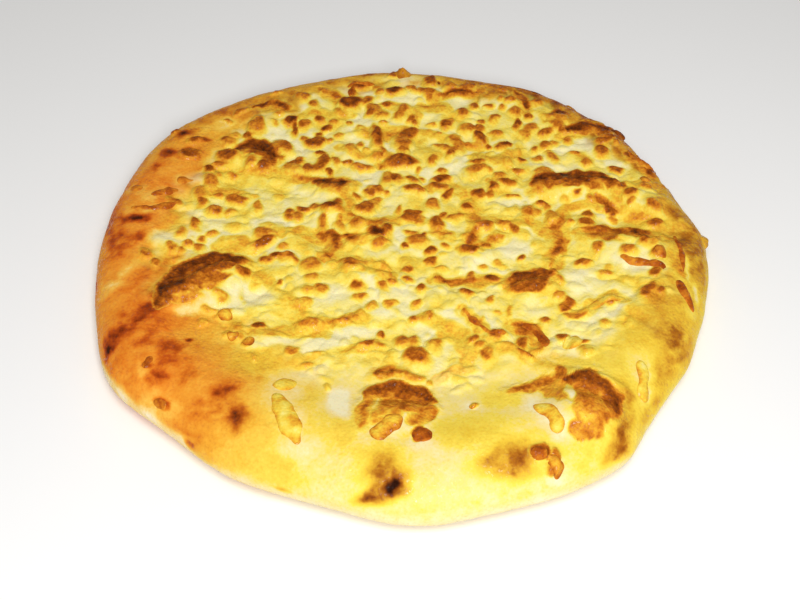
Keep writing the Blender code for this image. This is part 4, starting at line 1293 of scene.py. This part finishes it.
# %% Palettes
CHEESE_STOPS = (
    (0.00, "#efe4ae"), (0.12, "#efdf8a"), (0.22, "#f1d95e"), (0.32, "#ecc640"), (0.42, "#e2a42e"),
    (0.54, "#cc7b1f"), (0.66, "#a95912"), (0.78, "#823f0c"), (0.90, "#5a2807"), (1.00, "#3c1a04"),
)
YELLOW_CRUST_STOPS = (
    (0.00, "#f0e6b8"), (0.14, "#efda94"), (0.28, "#f0d550"), (0.42, "#e6c03a"), (0.55, "#d29d2c"),
    (0.68, "#ac6a18"), (0.80, "#86450e"), (0.90, "#542507"), (1.00, "#2c1004"),
)
ORANGE_CRUST_STOPS = (
    (0.00, "#f8e8c8"), (0.14, "#f8d88c"), (0.28, "#f2b84a"), (0.42, "#ec9730"), (0.55, "#de7a20"),
    (0.68, "#bf5414"), (0.80, "#93380c"), (0.90, "#4f1d07"), (1.00, "#220c04"),
)
print("palettes of", len(CHEESE_STOPS), len(YELLOW_CRUST_STOPS), "and", len(ORANGE_CRUST_STOPS), "colours")

# %% [markdown]
# Baked food has no even colour, so two noises wander over the layers: blotches
# 5 mm wide and a grain of 1.4 mm. They move browned cheese most and plain
# melted cheese little.

# %% Paint of the loaf
TIMES, TIMES_AND_ADD = {"operation": "MULTIPLY"}, {"operation": "MULTIPLY_ADD"}
COLOUR_MIX = {"data_type": "RGBA"}


def loaf_paint(tree, layer, grain, blotch, wild):
    """Colour of cheese and crust. The cheese palette is read at tone + wander *
    wild and the crust palettes at bake + 0.55 * wander, where wander is noise
    from about -0.2 to 0.2: 0.36 * blotch + 0.38 * grain - 0.37. A Mix takes its
    share at 0 and its two colours at 6 and 7."""
    wander = node(tree, "ShaderNodeMath", TIMES_AND_ADD, {0: blotch, 1: 0.36, 2: -0.37})
    wander = node(tree, "ShaderNodeMath", TIMES_AND_ADD, {0: grain, 1: 0.38, 2: wander})
    cheese_tone = node(tree, "ShaderNodeMath", TIMES_AND_ADD, {0: wander, 1: wild, 2: layer["tone"]})
    cheese = node(tree, "ShaderNodeValToRGB", {"stops": CHEESE_STOPS}, {"Fac": cheese_tone})
    crust_tone = node(tree, "ShaderNodeMath", TIMES_AND_ADD, {0: wander, 1: 0.55, 2: layer["bake"]})
    yellow = node(tree, "ShaderNodeValToRGB", {"stops": YELLOW_CRUST_STOPS}, {"Fac": crust_tone})
    orange = node(tree, "ShaderNodeValToRGB", {"stops": ORANGE_CRUST_STOPS}, {"Fac": crust_tone})
    crust = node(tree, "ShaderNodeMix", COLOUR_MIX, {0: layer["warm"], 6: yellow, 7: orange}, 2)
    return node(tree, "ShaderNodeMix", COLOUR_MIX, {0: layer["cheese"], 6: crust, 7: cheese}, 2)


print("the burnt end of the cheese is", np.round(linear(CHEESE_STOPS[-1][1])[:3], 3))

# %% [markdown]
# The skin of melted cheese is pitted more finely than its mesh is, so that part
# of the relief is bump. Its third pattern is the small bubbles that burst.

# %% Fine relief of the skin
BUMP_DEPTH = 0.0006


def fine_relief(tree, layer, grain, blotch, bubbles, wild):
    """Bump up to 0.6 mm: grain and blotches everywhere, and bubbles that burst in
    the browned skin. Plain crust is the smoothest."""
    pits = node(tree, "ShaderNodeMath", TIMES, {0: bubbles, 1: wild})
    height = node(tree, "ShaderNodeMath", TIMES_AND_ADD, {0: grain, 1: 0.5, 2: pits})
    height = node(tree, "ShaderNodeMath", TIMES_AND_ADD, {0: blotch, 1: 0.8, 2: height})
    rugged = node(tree, "ShaderNodeMath", {"operation": "MAXIMUM"}, {0: layer["cheese"], 1: wild})
    rugged = node(tree, "ShaderNodeMapRange", inputs={0: rugged, 1: 0.35, 2: 0.9, 3: 0.25, 4: 1.0})
    height = node(tree, "ShaderNodeMath", TIMES, {0: height, 1: rugged})
    return node(tree, "ShaderNodeBump", inputs={"Height": height, "Strength": 0.7, "Distance": BUMP_DEPTH})


print("the bump is up to", 1000.0 * BUMP_DEPTH, "mm deep")

# %% [markdown]
# What remains is gloss and glow. Fat shines in small glints between dull dry
# grains, and a little light goes into the cheese and comes back warmer.

# %% Material of the loaf
GRAIN_SIZE, BLOTCH_SIZE, BUBBLE_SIZE = 1.4, 5.0, 1.6
FAT_IOR = 1.45
GLOW_SHARE, GLOW_DEPTH, GLOW_COLOUR = 0.10, 0.002, (1.0, 0.7, 0.3)


def baked_loaf_material():
    """Paint, gloss and fine relief of cheese and crust. A pattern of s mm has the
    scale 1000 / s, since Object coordinates are in metres. A Map Range takes
    its value at 0, the range it comes from at 1 and 2, and its new one at 3 and 4."""
    material = bpy.data.materials.new("baked cheese and egg washed crust")
    material.use_nodes = True
    tree = material.node_tree
    shader = tree.nodes["Principled BSDF"]
    where = node(tree, "ShaderNodeTexCoord", output="Object")
    layer = {
        name: node(tree, "ShaderNodeAttribute", {"attribute_name": name}, output="Fac")
        for name in PAINT_LAYERS
    }
    grain, blotch = (
        node(tree, "ShaderNodeTexNoise", inputs={"Vector": where, "Scale": 1000.0 / size, "Detail": detail})
        for size, detail in ((GRAIN_SIZE, 3.0), (BLOTCH_SIZE, 4.0))
    )
    bubbles = node(
        tree, "ShaderNodeTexVoronoi", {"feature": "SMOOTH_F1"},
        {"Vector": where, "Scale": 1000.0 / BUBBLE_SIZE, "Smoothness": 0.4},
    )
    wild = node(tree, "ShaderNodeMapRange", inputs={0: layer["tone"], 1: 0.15, 2: 0.6, 3: 0.35, 4: 1.0})
    # Fat shines in small glints, the dry grain between them is dull
    rough = node(tree, "ShaderNodeMapRange", inputs={0: grain, 1: 0.40, 2: 0.62, 3: 0.65, 4: 0.22})
    shine = node(tree, "ShaderNodeMapRange", inputs={0: grain, 1: 0.56, 2: 0.66, 3: 0.06, 4: 0.55})
    tree.links.new(loaf_paint(tree, layer, grain, blotch, wild), shader.inputs["Base Color"])
    tree.links.new(rough, shader.inputs["Roughness"])
    tree.links.new(shine, shader.inputs["Specular IOR Level"])
    tree.links.new(fine_relief(tree, layer, grain, blotch, bubbles, wild), shader.inputs["Normal"])
    shader.inputs["IOR"].default_value = FAT_IOR
    # Light goes up to 2 mm deep, red furthest, which gives cheese its soft glow
    shader.inputs["Subsurface Weight"].default_value = GLOW_SHARE
    shader.inputs["Subsurface Radius"].default_value = GLOW_COLOUR
    shader.inputs["Subsurface Scale"].default_value = GLOW_DEPTH
    return material


loaf_material = baked_loaf_material()
for piece in (top, rim, base, browned_shreds, pale_shreds, tips):
    piece.data.materials.append(loaf_material)
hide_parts("khachapuri")
print("painted the loaf with", len(loaf_material.node_tree.nodes), "nodes")

# %% [markdown]
# ## Floor and light
# The loaf lies on a plain pale floor, dull enough to show only its soft shadow.

# %% Floor
FLOOR_HALF = 3.0
floor_corners = [(FLOOR_HALF * a, FLOOR_HALF * b, 0.0) for a, b in ((-1, -1), (1, -1), (1, 1), (-1, 1))]
floor_mesh = bpy.data.meshes.new("floor")
floor_mesh.from_pydata(floor_corners, [], [(0, 1, 2, 3)])
floor = bpy.data.objects.new("floor", floor_mesh)
scene.collection.objects.link(floor)
floor_material = bpy.data.materials.new("white studio floor")
floor_material.use_nodes = True
floor_shader = floor_material.node_tree.nodes["Principled BSDF"]
floor_shader.inputs["Base Color"].default_value = linear("#f6f6f6")
floor_shader.inputs["Roughness"].default_value = 0.9
floor.data.materials.append(floor_material)
print("the floor is", 2.0 * FLOOR_HALF, "m wide")

# %% [markdown]
# Two large soft lights from the front and above give the near side its glow
# and leave the far side darker. A faint warm light comes from all round.

# %% Lights
LIGHT_AIM = (0.0, -0.02, 0.0)
ROOM_LIGHT, ROOM_STRENGTH = (1.0, 0.97, 0.92, 1.0), 0.28


def soft_light(name, place, aim, size, power):
    """A square light panel at a place in metres, turned to face the aim."""
    data = bpy.data.lights.new(name, "AREA")
    data.size = size
    data.energy = power
    light = bpy.data.objects.new(name, data)
    light.location = place
    away = np.array(place) - np.array(aim)
    level = math.hypot(away[0], away[1])
    light.rotation_euler = (math.atan2(level, away[2]), 0.0, math.atan2(away[0], -away[1]))
    scene.collection.objects.link(light)


soft_light("near light", (0.10, -0.75, 0.62), LIGHT_AIM, 0.30, 5.0)
soft_light("high light", (0.05, -0.4, 0.95), LIGHT_AIM, 0.45, 4.6)
world = bpy.data.worlds.new("studio")
world.use_nodes = True
world.node_tree.nodes["Background"].inputs["Color"].default_value = ROOM_LIGHT
world.node_tree.nodes["Background"].inputs["Strength"].default_value = ROOM_STRENGTH
scene.world = world
scene.view_settings.view_transform = "Standard"
print("lights:", sorted(light.name for light in bpy.data.lights))
